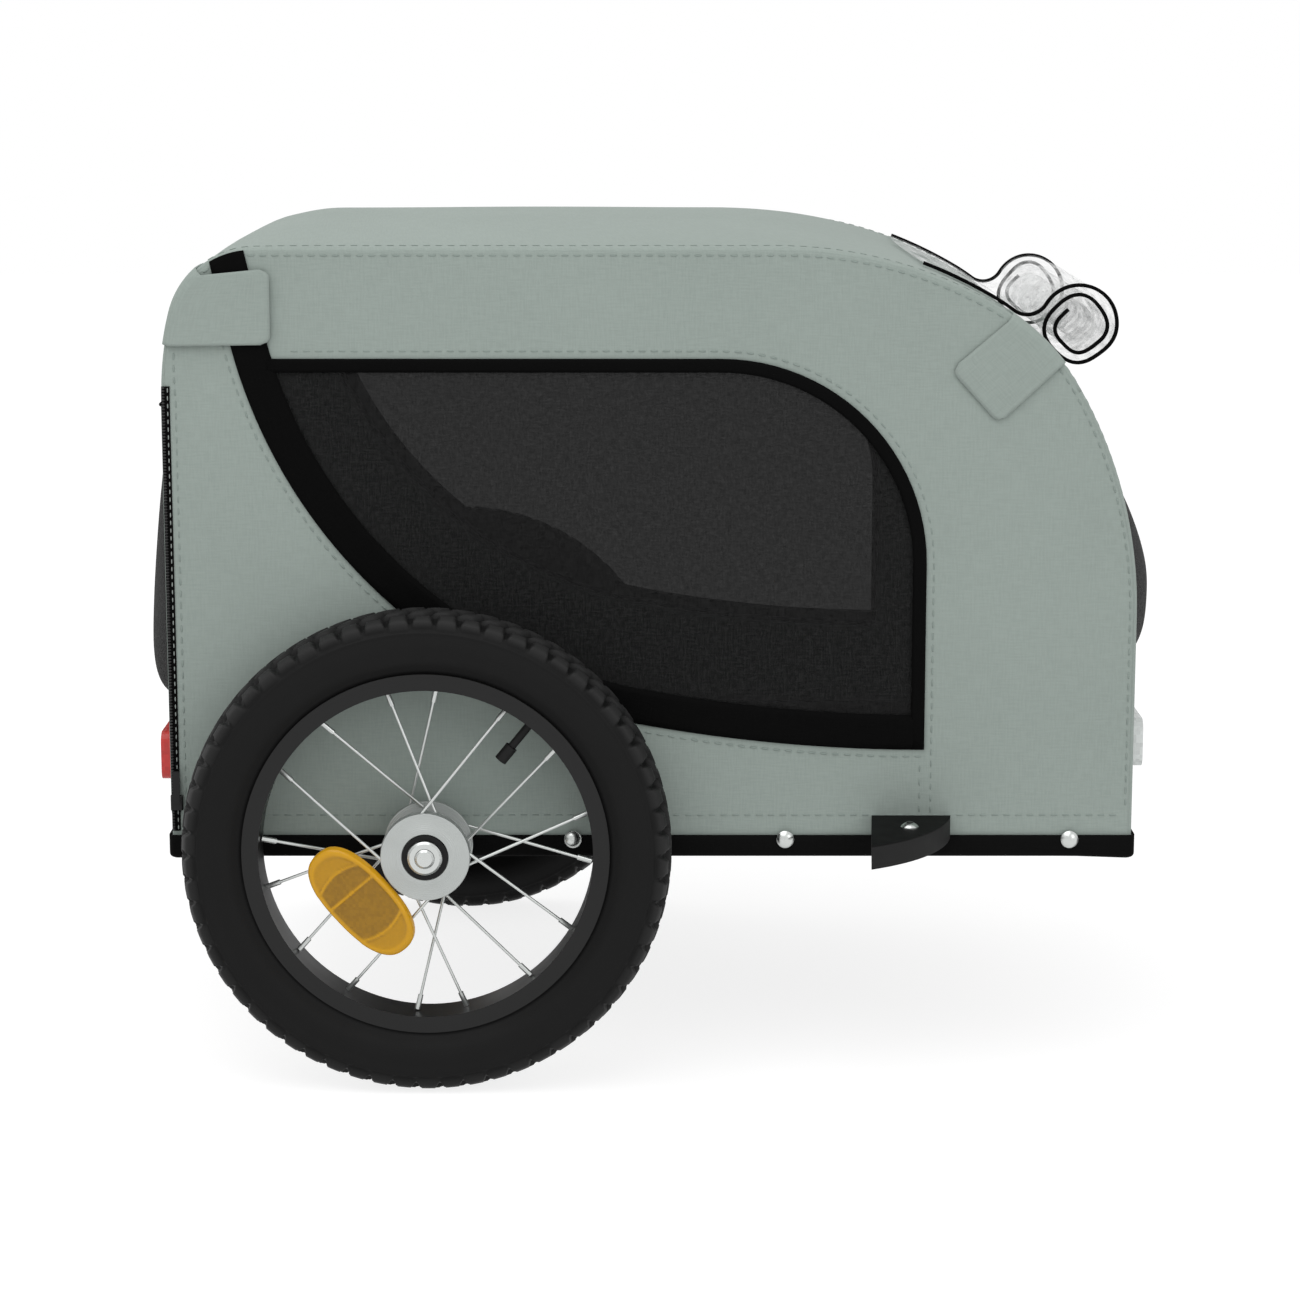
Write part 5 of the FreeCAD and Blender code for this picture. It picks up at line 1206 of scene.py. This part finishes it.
class TRAILER_OT_rain_cover(bpy.types.Operator):
    """Clear rain cover, rolled up on the front shoulder, with bound edges"""

    bl_idname = "trailer.rain_cover"
    bl_label = "Rain cover"

    ROLL_R = 0.028
    ROLL_PITCH = 0.0076     # between the roll's turns
    HALF_TURNS = 6
    ROLL_TURN = 50.3        # degrees on the shoulder where the roll lies
    SEAM_TURN = 21.0        # degrees on the brow where the flap is sewn on
    FLAP_BEND_R = 0.016
    BINDING_T = 0.0026
    BINDING_W = 0.004
    BOUND = 0.84            # share of the sheet's run that is bound
    FIT = 0.0003            # between binding and roof cloth
    RISE = 0.0012           # flap above that
    STEP = 0.0022           # between the sheet's points
    SLACK = 0.0009          # height of creases, and of the roll's squarish turns
    CREASE = 0.11           # length of the creases before they are squeezed
    SQUEEZE = 2.2, 3        # how much, along the run and across
    CREASE_START = 0.4      # shifts the creases across
    LOOSE = 0.16, 0.20      # run over which the sheet gets slack
    ON_BROW = 0.06          # run within which it lies on the brow

    def roll_line(self):
        """Line of the rolled cover seen from the side: on the brow and the shoulder, a bend up, then half
        turns whose radius falls by half a pitch each. Gives it with the roll's and the brow's centres."""
        start = np.stack(cover_at(MARK["brow"])[:2])
        shoulder = start - SHOULDER_R * facing(BROW_TURN)
        brow = start - BROW_R * facing(BROW_TURN)
        half_pitch = self.ROLL_PITCH / 2
        seat = SHOULDER_R + self.FIT + self.ROLL_R - half_pitch + self.BINDING_T / 2
        low = shoulder + seat * facing(self.ROLL_TURN)
        high = low + np.array([0, half_pitch])
        over = self.FIT + self.BINDING_T / 2 + self.RISE
        gap = np.linalg.norm(high - shoulder)
        to_bend, apart = SHOULDER_R + over + self.FLAP_BEND_R, self.ROLL_R + self.FLAP_BEND_R
        angle = np.degrees(np.arccos((to_bend ** 2 + gap ** 2 - apart ** 2) / (2 * to_bend * gap)))
        leave = np.degrees(np.arctan2(*(high - shoulder))) - angle
        bend = shoulder + to_bend * facing(leave)
        meet = np.degrees(np.arctan2(*(bend - high)))
        arcs = [(brow, BROW_R + over, self.SEAM_TURN, BROW_TURN),
                (shoulder, SHOULDER_R + over, BROW_TURN, leave),
                (bend, self.FLAP_BEND_R, leave + 180, meet + 180),
                (high, self.ROLL_R, meet, 0)]
        for index in range(self.HALF_TURNS):
            centre, first = (high, 0) if index % 2 == 0 else (low, 180)
            arcs.append((centre, self.ROLL_R - index * half_pitch, first, first + 180))
        lines = [arc_run(*arc)[0] for arc in arcs]
        line = np.concatenate([line[:-1] for line in lines] + [lines[-1][-1:]])
        return dense(line, self.STEP), low, brow

    def execute(self, context):
        """The roll's line carried across: the loose part is creased and a little squarish, and the flap
        follows the crown of the brow."""
        low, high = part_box("rain_cover")
        line, heart, brow = self.roll_line()
        run = run_of(line)
        tangent = unit(np.gradient(line, axis=0))
        normal = np.stack([-tangent[:, 1], tangent[:, 0]], -1)
        y = np.linspace(low.y, high.y, 60)
        away = line - heart
        squarish = self.SLACK * np.cos(4 * np.arctan2(away[:, 1], away[:, 0]))
        along, across = self.SQUEEZE
        crease = self.SLACK * ripple(run[:, None] * along, y[None] * across + self.CREASE_START, self.CREASE)
        shift = np.interp(run, self.LOOSE, [0, 1])[:, None] * (squarish[:, None] + crease)
        turn = np.degrees(np.arctan2(*(line - brow).T))
        on_brow = (run < self.ON_BROW) & (turn < BROW_TURN)
        crown = np.where(on_brow[:, None], brow_crown(facing(turn)), 0)
        arch = ROOF_CROWN * arched(y)
        plane = line[:, None] + normal[:, None] * shift[..., None] + crown[:, None] * arch[None, :, None]
        points = grid(plane[..., 0], y, plane[..., 1])
        piece = lay("rain_cover_sheet", points, grid(run[:, None], y), CLEAR_SHEET, "rain_cover",
                    outward=None)
        profile = np.array([[-0.5, -0.35], [-0.35, -0.5], [0.35, -0.5], [0.5, -0.35], [0.5, 0.35],
                            [0.35, 0.5], [-0.35, 0.5], [-0.5, 0.35]]) * [self.BINDING_W, self.BINDING_T]
        bound = run < run[-1] * self.BOUND
        up = grid(normal[bound, 0], 0.0, normal[bound, 1])
        edges = [sweep(points[bound, column] + np.array([0, side * self.BINDING_W / 2, 0]), up, profile)
                 for column, side in ((0, -1), (-1, 1))]
        make("rain_cover_edges", *joined(edges), BLACK_TAPE, closed=True, stands_for=["rain_cover_binding"])
        return {"FINISHED"}


# Wheels

def turned(name, side, radius, angle, y, stock, stands_for=(), tint=None):
    """Piece round the axle: the radii and the distances from the wheel's middle plane, outward positive,
    of its closed section, at even angles."""
    points = grid(AXLE_X + radius * np.cos(angle), SIDES[side] * (WHEEL_Y + y),
                  AXLE_Z + radius * np.sin(angle))
    points = np.concatenate([points, points[:1]])
    return make(name, points, cells(*points.shape[:2], wrap=True), stock, side + "_wheel", closed=True,
                stands_for=stands_for, tint=tint)


class TRAILER_OT_tyres(bpy.types.Operator):
    """Tyres with a block tread"""

    bl_idname = "trailer.tyres"
    bl_label = "Tyres"

    # Outer section: radius and half width from the bead out, then depth below the tread's foot and half width
    SIDE_WALL = ((0.1262, 0.0120), (0.1310, 0.0140), (0.1350, 0.0158), (0.1430, 0.0222), (0.1520, 0.0250),
                 (0.1600, 0.0243), (0.1655, 0.0226))
    CROWN = ((0.0040, 0.0185), (0.0008, 0.0100), (0.0, 0.0))
    # Inner section: radius and distance from the middle plane
    INSIDE = ((0.1262, -0.0120), (0.1400, -0.0165), (0.1540, -0.0200), (0.1700, 0.0), (0.1540, 0.0200),
              (0.1400, 0.0165))
    SECTION_POINTS = 104
    BLOCK_POINTS = 13       # round the tyre, for each block

    # Tread, in metres across from the middle line and in shares of a block's pitch
    LONG = 0.0118, 0.0250       # ends of the longer shoulder blocks
    SHORT = 0.0136, 0.0228      # ends of the shorter ones
    MIDDLE = 0.0012, 0.0100     # ends of the middle blocks
    GROOVE_AT = 0.0170, 0.0210  # from here to here the shoulder's grooves narrow
    GROOVE = 0.15, 0.08         # half of their width there
    BLOCK_SOFT = 0.10           # slope at a shoulder block's long edges
    SLANTED = 0.15, 0.85        # long edges of the middle blocks
    SLANTED_SOFT = 0.14         # slope there
    SLANTED_SHIFT = 0.25        # middle blocks from the shoulder's
    SLANT = 55                  # pitches per metre across
    END_SOFT = 0.0012           # slope at a block's ends
    FADE_END = 0.0262           # the shoulder sinks towards here
    FADE = 0.006                # width over which it would flatten
    FADE_LEAST = 0.35           # share of its height that is left at least
    RIB = 0.0262, 0.0278        # edges of the rib on the side wall
    RIB_H = 0.0008

    def execute(self, context):
        """The section's outer line, lifted along its normal by tread and rib, and its inner line."""
        sizes = context.scene.trailer_sizes
        base = TYRE_R - sizes.tread
        half = list(self.SIDE_WALL) + [(base - depth, wide) for depth, wide in self.CROWN]
        profile = smooth_line(half + [(r, -y) for r, y in reversed(half[:-1])], self.SECTION_POINTS)
        run = run_of(profile)
        across = run - run[-1] / 2
        slope = unit(np.gradient(profile, axis=0))
        normal = np.stack([-slope[:, 1], slope[:, 0]], -1)
        normal *= np.sign(normal[self.SECTION_POINTS // 2, 0])
        columns = sizes.tread_blocks * self.BLOCK_POINTS
        angle = np.arange(columns) * 2 * np.pi / columns
        height = self.tread(across[:, None], angle[None] * sizes.tread_blocks / (2 * np.pi))
        rib = self.RIB_H * step_up(np.abs(across), *self.RIB, self.RIB_H)
        lift = sizes.tread * height + rib[:, None]
        inner = smooth_line(self.INSIDE, 14)
        radius, y = (np.vstack([profile[:, i:i + 1] + normal[:, i:i + 1] * lift,
                                np.repeat(inner[1:, i:i + 1], columns, 1)]) for i in (0, 1))
        # Painted highlight on the tread blocks, by their height
        lit_raised = np.vstack([height, np.zeros((len(inner), columns))])
        for name in SIDES:
            turned(name + "_tyre_treaded", name, radius, angle, y, TYRE_RUBBER, [name + "_tyre"], lit_raised)
        return {"FINISHED"}

    def tread(self, across, pitch):
        """Height of the tread from 0 to 1: shoulder blocks, every second one longer, and slanted middle
        blocks, with open grooves between that narrow towards the side wall. One shoulder is set half a
        pitch over."""
        off = np.abs(across)
        shifted = pitch + np.where(across > 0, 0.5, 0.0)
        second = (shifted.astype(int) % 2) == 0
        groove = np.interp(off, self.GROOVE_AT, self.GROOVE)
        block = step_up(shifted % 1, groove, 1 - groove, self.BLOCK_SOFT)
        near, far = (np.where(second, *ends) for ends in zip(self.LONG, self.SHORT))
        shoulder = step_up(off, near, far, self.END_SOFT) * block
        slant = (pitch + self.SLANTED_SHIFT + across * self.SLANT) % 1
        middle = (step_up(slant, *self.SLANTED, self.SLANTED_SOFT)
                  * step_up(off, *self.MIDDLE, self.END_SOFT))
        fade = np.clip((self.FADE_END - off) / self.FADE, self.FADE_LEAST, 1)
        return np.maximum(shoulder * fade, middle)


class TRAILER_OT_hub_covers(bpy.types.Operator):
    """Pressed discs over the hubs' outer flanges"""

    bl_idname = "trailer.hub_covers"
    bl_label = "Hub covers"

    FIT = 0.0002            # round the seal and inside the hub's edge
    PROUD = 0.0006          # seal over the disc's face
    # Section: out from the hole or in from the edge, and down from the face
    AT_HOLE = ((0, 0.0009), (0, 0.0003), (0.0004, 0), (0.0042, 0), (0.0048, 0.0004))
    AT_EDGE = ((0.0016, 0.0004), (0.0004, 0.0008), (0, 0.0018), (0, 0.0034), (0.0008, 0.0034),
               (0.0008, 0.0016), (0.0018, 0.0011))

    def execute(self, context):
        seal_low, seal_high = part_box("left_seal")
        hub_low, hub_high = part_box("left_hub")
        hole = (seal_high.x - seal_low.x) / 2 + self.FIT
        edge = (hub_high.x - hub_low.x) / 2 - self.FIT
        face = seal_high.y - WHEEL_Y - self.PROUD
        section = np.array([(hole + out, face - down) for out, down in self.AT_HOLE]
                           + [(edge - back, face - down) for back, down in self.AT_EDGE])
        angle = np.arange(96) * 2 * np.pi / 96
        for name in SIDES:
            cover = turned(name + "_hub_cover", name, section[:, :1], angle, section[:, 1:], HUB_ALLOY)
            cover.data.set_sharp_from_angle(angle=np.radians(35))
        return {"FINISHED"}


class TRAILER_OT_spoke_reflectors(bpy.types.Operator):
    """Amber reflectors between the spokes: a bevelled rim, a sunk prism field and cross ribs"""

    bl_idname = "trailer.spoke_reflectors"
    bl_label = "Spoke reflectors"

    LONG, WIDE, THICK = 0.094, 0.048, 0.008
    SQUARE = 2.5            # power of its oval; 2 is an ellipse
    SLOPE = np.arctan2(0.019, 0.092)
    TURN = np.radians(-132)
    PLACE = np.radians(216)
    REACH = 0.057           # from the axle
    SEAT = 0.0141           # from the wheel's middle plane
    RIB_AT = 0.0095         # straight rib, from the middle
    RIB_HALF = 0.0011       # half of its width
    RIB_SOFT = 0.0008       # slope at its sides
    ARCH_AT = 0.0275        # curved ribs, from the middle
    ARCH_BOW = 0.08         # twice the radius of their curve
    ARCH_HALF = 0.0012      # half of their width
    ARCH_SOFT = 0.001       # slope at their sides
    RIM_FROM = 0.86         # share of the way to the edge
    RIM_SOFT = 0.05         # slope there, as a share of the way
    SUNK = 0.0021           # field below the full thickness
    RIB_H = 0.0014          # ribs and rim above the field
    END_H = 0.0006          # ends past the curved ribs, above the field
    END_SOFT = 0.002        # slope where they start
    ENDS_BRIGHT = 0.6       # their share of the rim's colour
    BEVEL = 0.0022          # fall of the outer edge
    BEVEL_FROM = 0.94       # share of the way to the edge where it starts
    BEVEL_RUN = 0.06        # its share of the way
    BACK_EDGE = 0.0004      # back's edge above its face
    STEP = 0.0014           # between the outline's points

    def execute(self, context):
        """Rings from the middle to the edge: the outline is an oval between an ellipse and a rectangle,
        and the height adds ribs where they cross, the rim and a bevel."""
        angle = np.linspace(0, 2 * np.pi, 144, endpoint=False)
        way = np.stack([np.cos(angle), np.sin(angle)], -1)
        edge = np.sign(way) * np.abs(way) ** (2 / self.SQUARE) * [self.LONG / 2, self.WIDE / 2]
        edge = dense(np.vstack([edge, edge[:1]]), self.STEP)[:-1]
        count = len(edge)
        share = np.concatenate([np.linspace(0, 0.80, 30), [0.83, 0.86, 0.90, 0.94, 0.97, 0.99, 1.0]])
        plan = edge[None] * share[:, None, None]
        a, b = plan[..., 0], plan[..., 1]
        past = np.abs(a) - (self.ARCH_AT - b ** 2 / self.ARCH_BOW)
        middle = step_up(a - self.RIB_AT, -self.RIB_HALF, self.RIB_HALF, self.RIB_SOFT)
        arch = step_up(past, -self.ARCH_HALF, self.ARCH_HALF, self.ARCH_SOFT)
        ends = step_up(past, self.ARCH_HALF, self.LONG, self.END_SOFT)
        rim = step_up(share, self.RIM_FROM, 2, self.RIM_SOFT)[:, None]
        raised = np.maximum(middle, np.maximum(arch, rim))
        drop = np.clip((share - self.BEVEL_FROM) / self.BEVEL_RUN, 0, 1)[:, None] ** 2 * self.BEVEL
        height = self.THICK - self.SUNK + self.RIB_H * raised + self.END_H * ends - drop
        shown = np.clip(np.maximum(raised, ends * self.ENDS_BRIGHT), 0, 1)
        bright = np.concatenate([shown, np.ones((3, count))])
        plan = np.concatenate([plan, edge[None] * np.array([1.0, 0.97, 0.0])[:, None, None]])
        height = np.concatenate([height, np.full((1, count), self.BACK_EDGE), np.zeros((2, count))])
        off = self.SEAT + height * np.cos(self.SLOPE) - plan[..., 1] * np.sin(self.SLOPE)
        a, b = plan[..., 0], plan[..., 1] * np.cos(self.SLOPE) + height * np.sin(self.SLOPE)
        x = AXLE_X + self.REACH * np.cos(self.PLACE) + a * np.cos(self.TURN) + b * np.sin(self.TURN)
        z = AXLE_Z + self.REACH * np.sin(self.PLACE) - a * np.sin(self.TURN) + b * np.cos(self.TURN)
        for name, side in SIDES.items():
            lens = make(name + "_spoke_lens", grid(x, side * (WHEEL_Y + off), z), cells(*x.shape, wrap=True),
                        AMBER_LENS, name + "_wheel", closed=True, stands_for=[name + "_wheel_reflector"],
                        tint=bright)
            lens.data.set_sharp_from_angle(angle=np.radians(50))
        return {"FINISHED"}


class TRAILER_OT_button_springs(bpy.types.Operator):
    """Coil springs behind the release buttons, made at their resting length, which a pressed button shortens
    """

    bl_idname = "trailer.button_springs"
    bl_label = "Button springs"

    TURNS = 7
    WIRE_R = 0.0004

    def execute(self, context):
        """Round wire carried along a helix."""
        turn = np.linspace(0, 2 * np.pi * self.TURNS, 16 * self.TURNS + 1)
        around = grid(np.cos(turn), 0.0, np.sin(turn))
        for name, side in SIDES.items():
            low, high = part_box(name + "_button_spring")
            coil_r = (high.x - low.x) / 2 - self.WIRE_R
            path = np.array([AXLE_X, 0, AXLE_Z]) + coil_r * around
            path[:, 1] = np.linspace(low.y + self.WIRE_R, high.y - self.WIRE_R, len(turn))
            coil = make(name + "_button_coil", *sweep(path, around, circle(self.WIRE_R, 6)), ZINC_STEEL,
                        closed=True, stands_for=[name + "_button_spring"])
            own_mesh(coil)
        return {"FINISHED"}


class TRAILER_OT_socket_shade(bpy.types.Operator):
    """Black hexagon bars in the guard bolts' domes: painted shade that stands for the shadow in each socket
    """

    bl_idname = "trailer.bolt_sockets"
    bl_label = "Bolt sockets"

    WIDTH = 0.42            # share of the head's radius
    DEPTH = 0.0009
    PROUD = 0.0001          # over the dome's top

    def execute(self, context):
        """A short black hexagon bar stands upright in each head, as painted shade of its socket."""
        low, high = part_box("guard_bolts")
        middle_x = (low.x + high.x) / 2
        head_r = (high.x - low.x) / 2
        heights = np.array([high.z - self.DEPTH, high.z + self.PROUD])
        bars = [sweep(grid(middle_x, side * (high.y - head_r), heights), np.array([1.0, 0, 0]),
                      circle(head_r * self.WIDTH, 6)) for side in SIDES.values()]
        # Painted shade: black enamel where the chrome socket holds only shadow
        socket_shade_bars = make("guard_bolt_sockets", *joined(bars), BLACK_STEEL, closed=True)
        socket_shade_bars.data.set_sharp_from_angle(angle=np.radians(30))
        return {"FINISHED"}


class TRAILER_OT_hard_finishes(bpy.types.Operator):
    """Finishes of the frame, the wheels' metal, the guards and the reflectors"""

    bl_idname = "trailer.hard_finishes"
    bl_label = "Hard finishes"

    NODES = {
        "black enamel on steel": ("rail", "hoop", "front_cross_tube", "rear_cross_tube", "axle_cross_tube",
                                  "front_roof_bar", "rear_roof_bar", "rim"),
        "twin-wall floor board": ("floor_board",),
        "chromed bolt steel": ("rail_bolts", "guard_bolts", "axle", "axle_button"),
        "moulded black nylon": ("wheel_guards",),
        "moulded black polypropylene": ("tow_bar_socket", "zip_slider"),
        "zinc-plated steel": ("spokes", "bearings"),
        "turned hub alloy": ("hub",),
        "soft black rubber": ("inner_tube", "seal"),
        "red acrylic lens": ("rear_reflectors",),
        "clear acrylic lens": ("front_reflectors",),
    }

    def execute(self, context):
        for finish, names in self.NODES.items():
            for node in (side + name for name in names for side in ("", "right_", "left_")):
                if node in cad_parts:
                    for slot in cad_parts[node].material_slots:
                        slot.material = finishes()[finish]
        return {"FINISHED"}


def seen_rays(tree):
    """1 for rays from the camera, off a glossy face or through glass, and 0 for the rest."""
    ray = add(tree, "ShaderNodeLightPath")
    seen = add(tree, "ShaderNodeMath", {0: ray["Is Camera Ray"], 1: ray["Is Glossy Ray"]},
               operation="MAXIMUM")[0]
    return add(tree, "ShaderNodeMath", {0: seen, 1: ray["Is Transmission Ray"]}, operation="MAXIMUM")[0]


class TRAILER_OT_stage(bpy.types.Operator):
    """Pale floor, soft light from above and all round, and the camera"""

    bl_idname = "trailer.stage"
    bl_label = "Stage"

    # Lamps: place, size and share of the lamp's power
    LAMPS = {
        "overhead": ((-0.6, -1.2, 2.6), 2.4, 1.0),
        "front_fill": ((2.4, -2.4, 1.6), 1.8, 0.5),
        "rear_fill": ((-2.8, 1.6, 1.8), 1.8, 0.4),
    }
    GLOW = 0.62             # share of the floor that glows to seen rays, so that it shows white
    GLOW_STRENGTH = 1.32

    def execute(self, context):
        stage = context.scene.trailer_stage
        self.floor(stage)
        self.sky(stage)
        for name, (place, size, share) in self.LAMPS.items():
            self.lamp(name, place, size, stage.lamp * share)
        lens = bpy.data.cameras.new("camera")
        lens.lens = stage.lens
        camera = bpy.data.objects.new("camera", lens)
        camera.location = stage.camera
        camera.rotation_euler = (np.pi / 2 - stage.pitch, 0, 0)
        context.scene.collection.objects.link(camera)
        context.scene.camera = camera
        context.scene.view_settings.view_transform = "Standard"
        return {"FINISHED"}

    def lamp(self, name, place, size, power):
        """Square soft lamp that points at the cabin's middle."""
        light = bpy.data.lights.new(name, "AREA")
        light.size = size
        light.energy = power
        lamp = bpy.data.objects.new(name, light)
        away = np.array(place) - CABIN_MIDDLE
        lamp.location = place
        lamp.rotation_euler = (np.arctan2(np.hypot(*away[:2]), away[2]), 0, np.arctan2(away[0], -away[1]))
        bpy.context.scene.collection.objects.link(lamp)

    def floor(self, stage):
        """Matt white square that keeps the object's shadow."""
        finish = start("matt white floor")
        tree = finish.node_tree
        share = add(tree, "ShaderNodeMath", {0: seen_rays(tree), 1: self.GLOW}, operation="MULTIPLY")[0]
        matt = add(tree, "ShaderNodeBsdfDiffuse", {"Color": (0.9, 0.9, 0.9, 1)})[0]
        glow = add(tree, "ShaderNodeEmission", {"Color": (1, 1, 1, 1), "Strength": self.GLOW_STRENGTH})[0]
        mix = add(tree, "ShaderNodeMixShader", {0: share, 1: matt, 2: glow})[0]
        add(tree, "ShaderNodeOutputMaterial", {"Surface": mix})
        half = stage.floor / 2
        corners = [(-half, -half, 0), (half, -half, 0), (half, half, 0), (-half, half, 0)]
        mesh = bpy.data.meshes.new("floor")
        mesh.from_pydata(corners, [], [(0, 1, 2, 3)])
        mesh.materials.append(finish)
        floor = bpy.data.objects.new("floor", mesh)
        bpy.context.scene.collection.objects.link(floor)

    def sky(self, stage):
        """Even light from all round; seen rays meet white instead."""
        world = bpy.data.worlds.new("studio")
        world.use_nodes = True
        tree = world.node_tree
        tree.nodes.clear()
        light, white = (add(tree, "ShaderNodeBackground", {"Color": (1, 1, 1, 1), "Strength": strength})[0]
                        for strength in (stage.sky, 1.0))
        mix = add(tree, "ShaderNodeMixShader", {0: seen_rays(tree), 1: light, 2: white})[0]
        add(tree, "ShaderNodeOutputWorld", {"Surface": mix})
        bpy.context.scene.world = world


STEPS = (TRAILER_OT_side_panels, TRAILER_OT_roof, TRAILER_OT_end_panels, TRAILER_OT_windows, TRAILER_OT_doors,
         TRAILER_OT_floor_cloth, TRAILER_OT_zips, TRAILER_OT_patches, TRAILER_OT_rain_cover, TRAILER_OT_tyres,
         TRAILER_OT_hub_covers, TRAILER_OT_spoke_reflectors, TRAILER_OT_button_springs,
         TRAILER_OT_socket_shade, TRAILER_OT_hard_finishes, TRAILER_OT_stage)


class TRAILER_PT_panel(bpy.types.Panel):
    """Lists the trailer's pieces in the sidebar"""

    bl_label = "Dog bike trailer"
    bl_space_type = "VIEW_3D"
    bl_region_type = "UI"
    bl_category = "Trailer"

    def draw(self, context):
        for step in STEPS:
            self.layout.operator(step.bl_idname)


CLASSES = (TrailerColours, TrailerSizes, TrailerStage, *STEPS, TRAILER_PT_panel)


def register():
    for kind in CLASSES:
        bpy.utils.register_class(kind)
    bpy.types.Scene.trailer_colours = PointerProperty(type=TrailerColours)
    bpy.types.Scene.trailer_sizes = PointerProperty(type=TrailerSizes)
    bpy.types.Scene.trailer_stage = PointerProperty(type=TrailerStage)


def unregister():
    del bpy.types.Scene.trailer_stage
    del bpy.types.Scene.trailer_sizes
    del bpy.types.Scene.trailer_colours
    for kind in reversed(CLASSES):
        bpy.utils.unregister_class(kind)


def main():
    register()
    for step in STEPS:
        group, name = step.bl_idname.split(".")
        getattr(getattr(bpy.ops, group), name)()


if __name__ == "__main__":
    main()
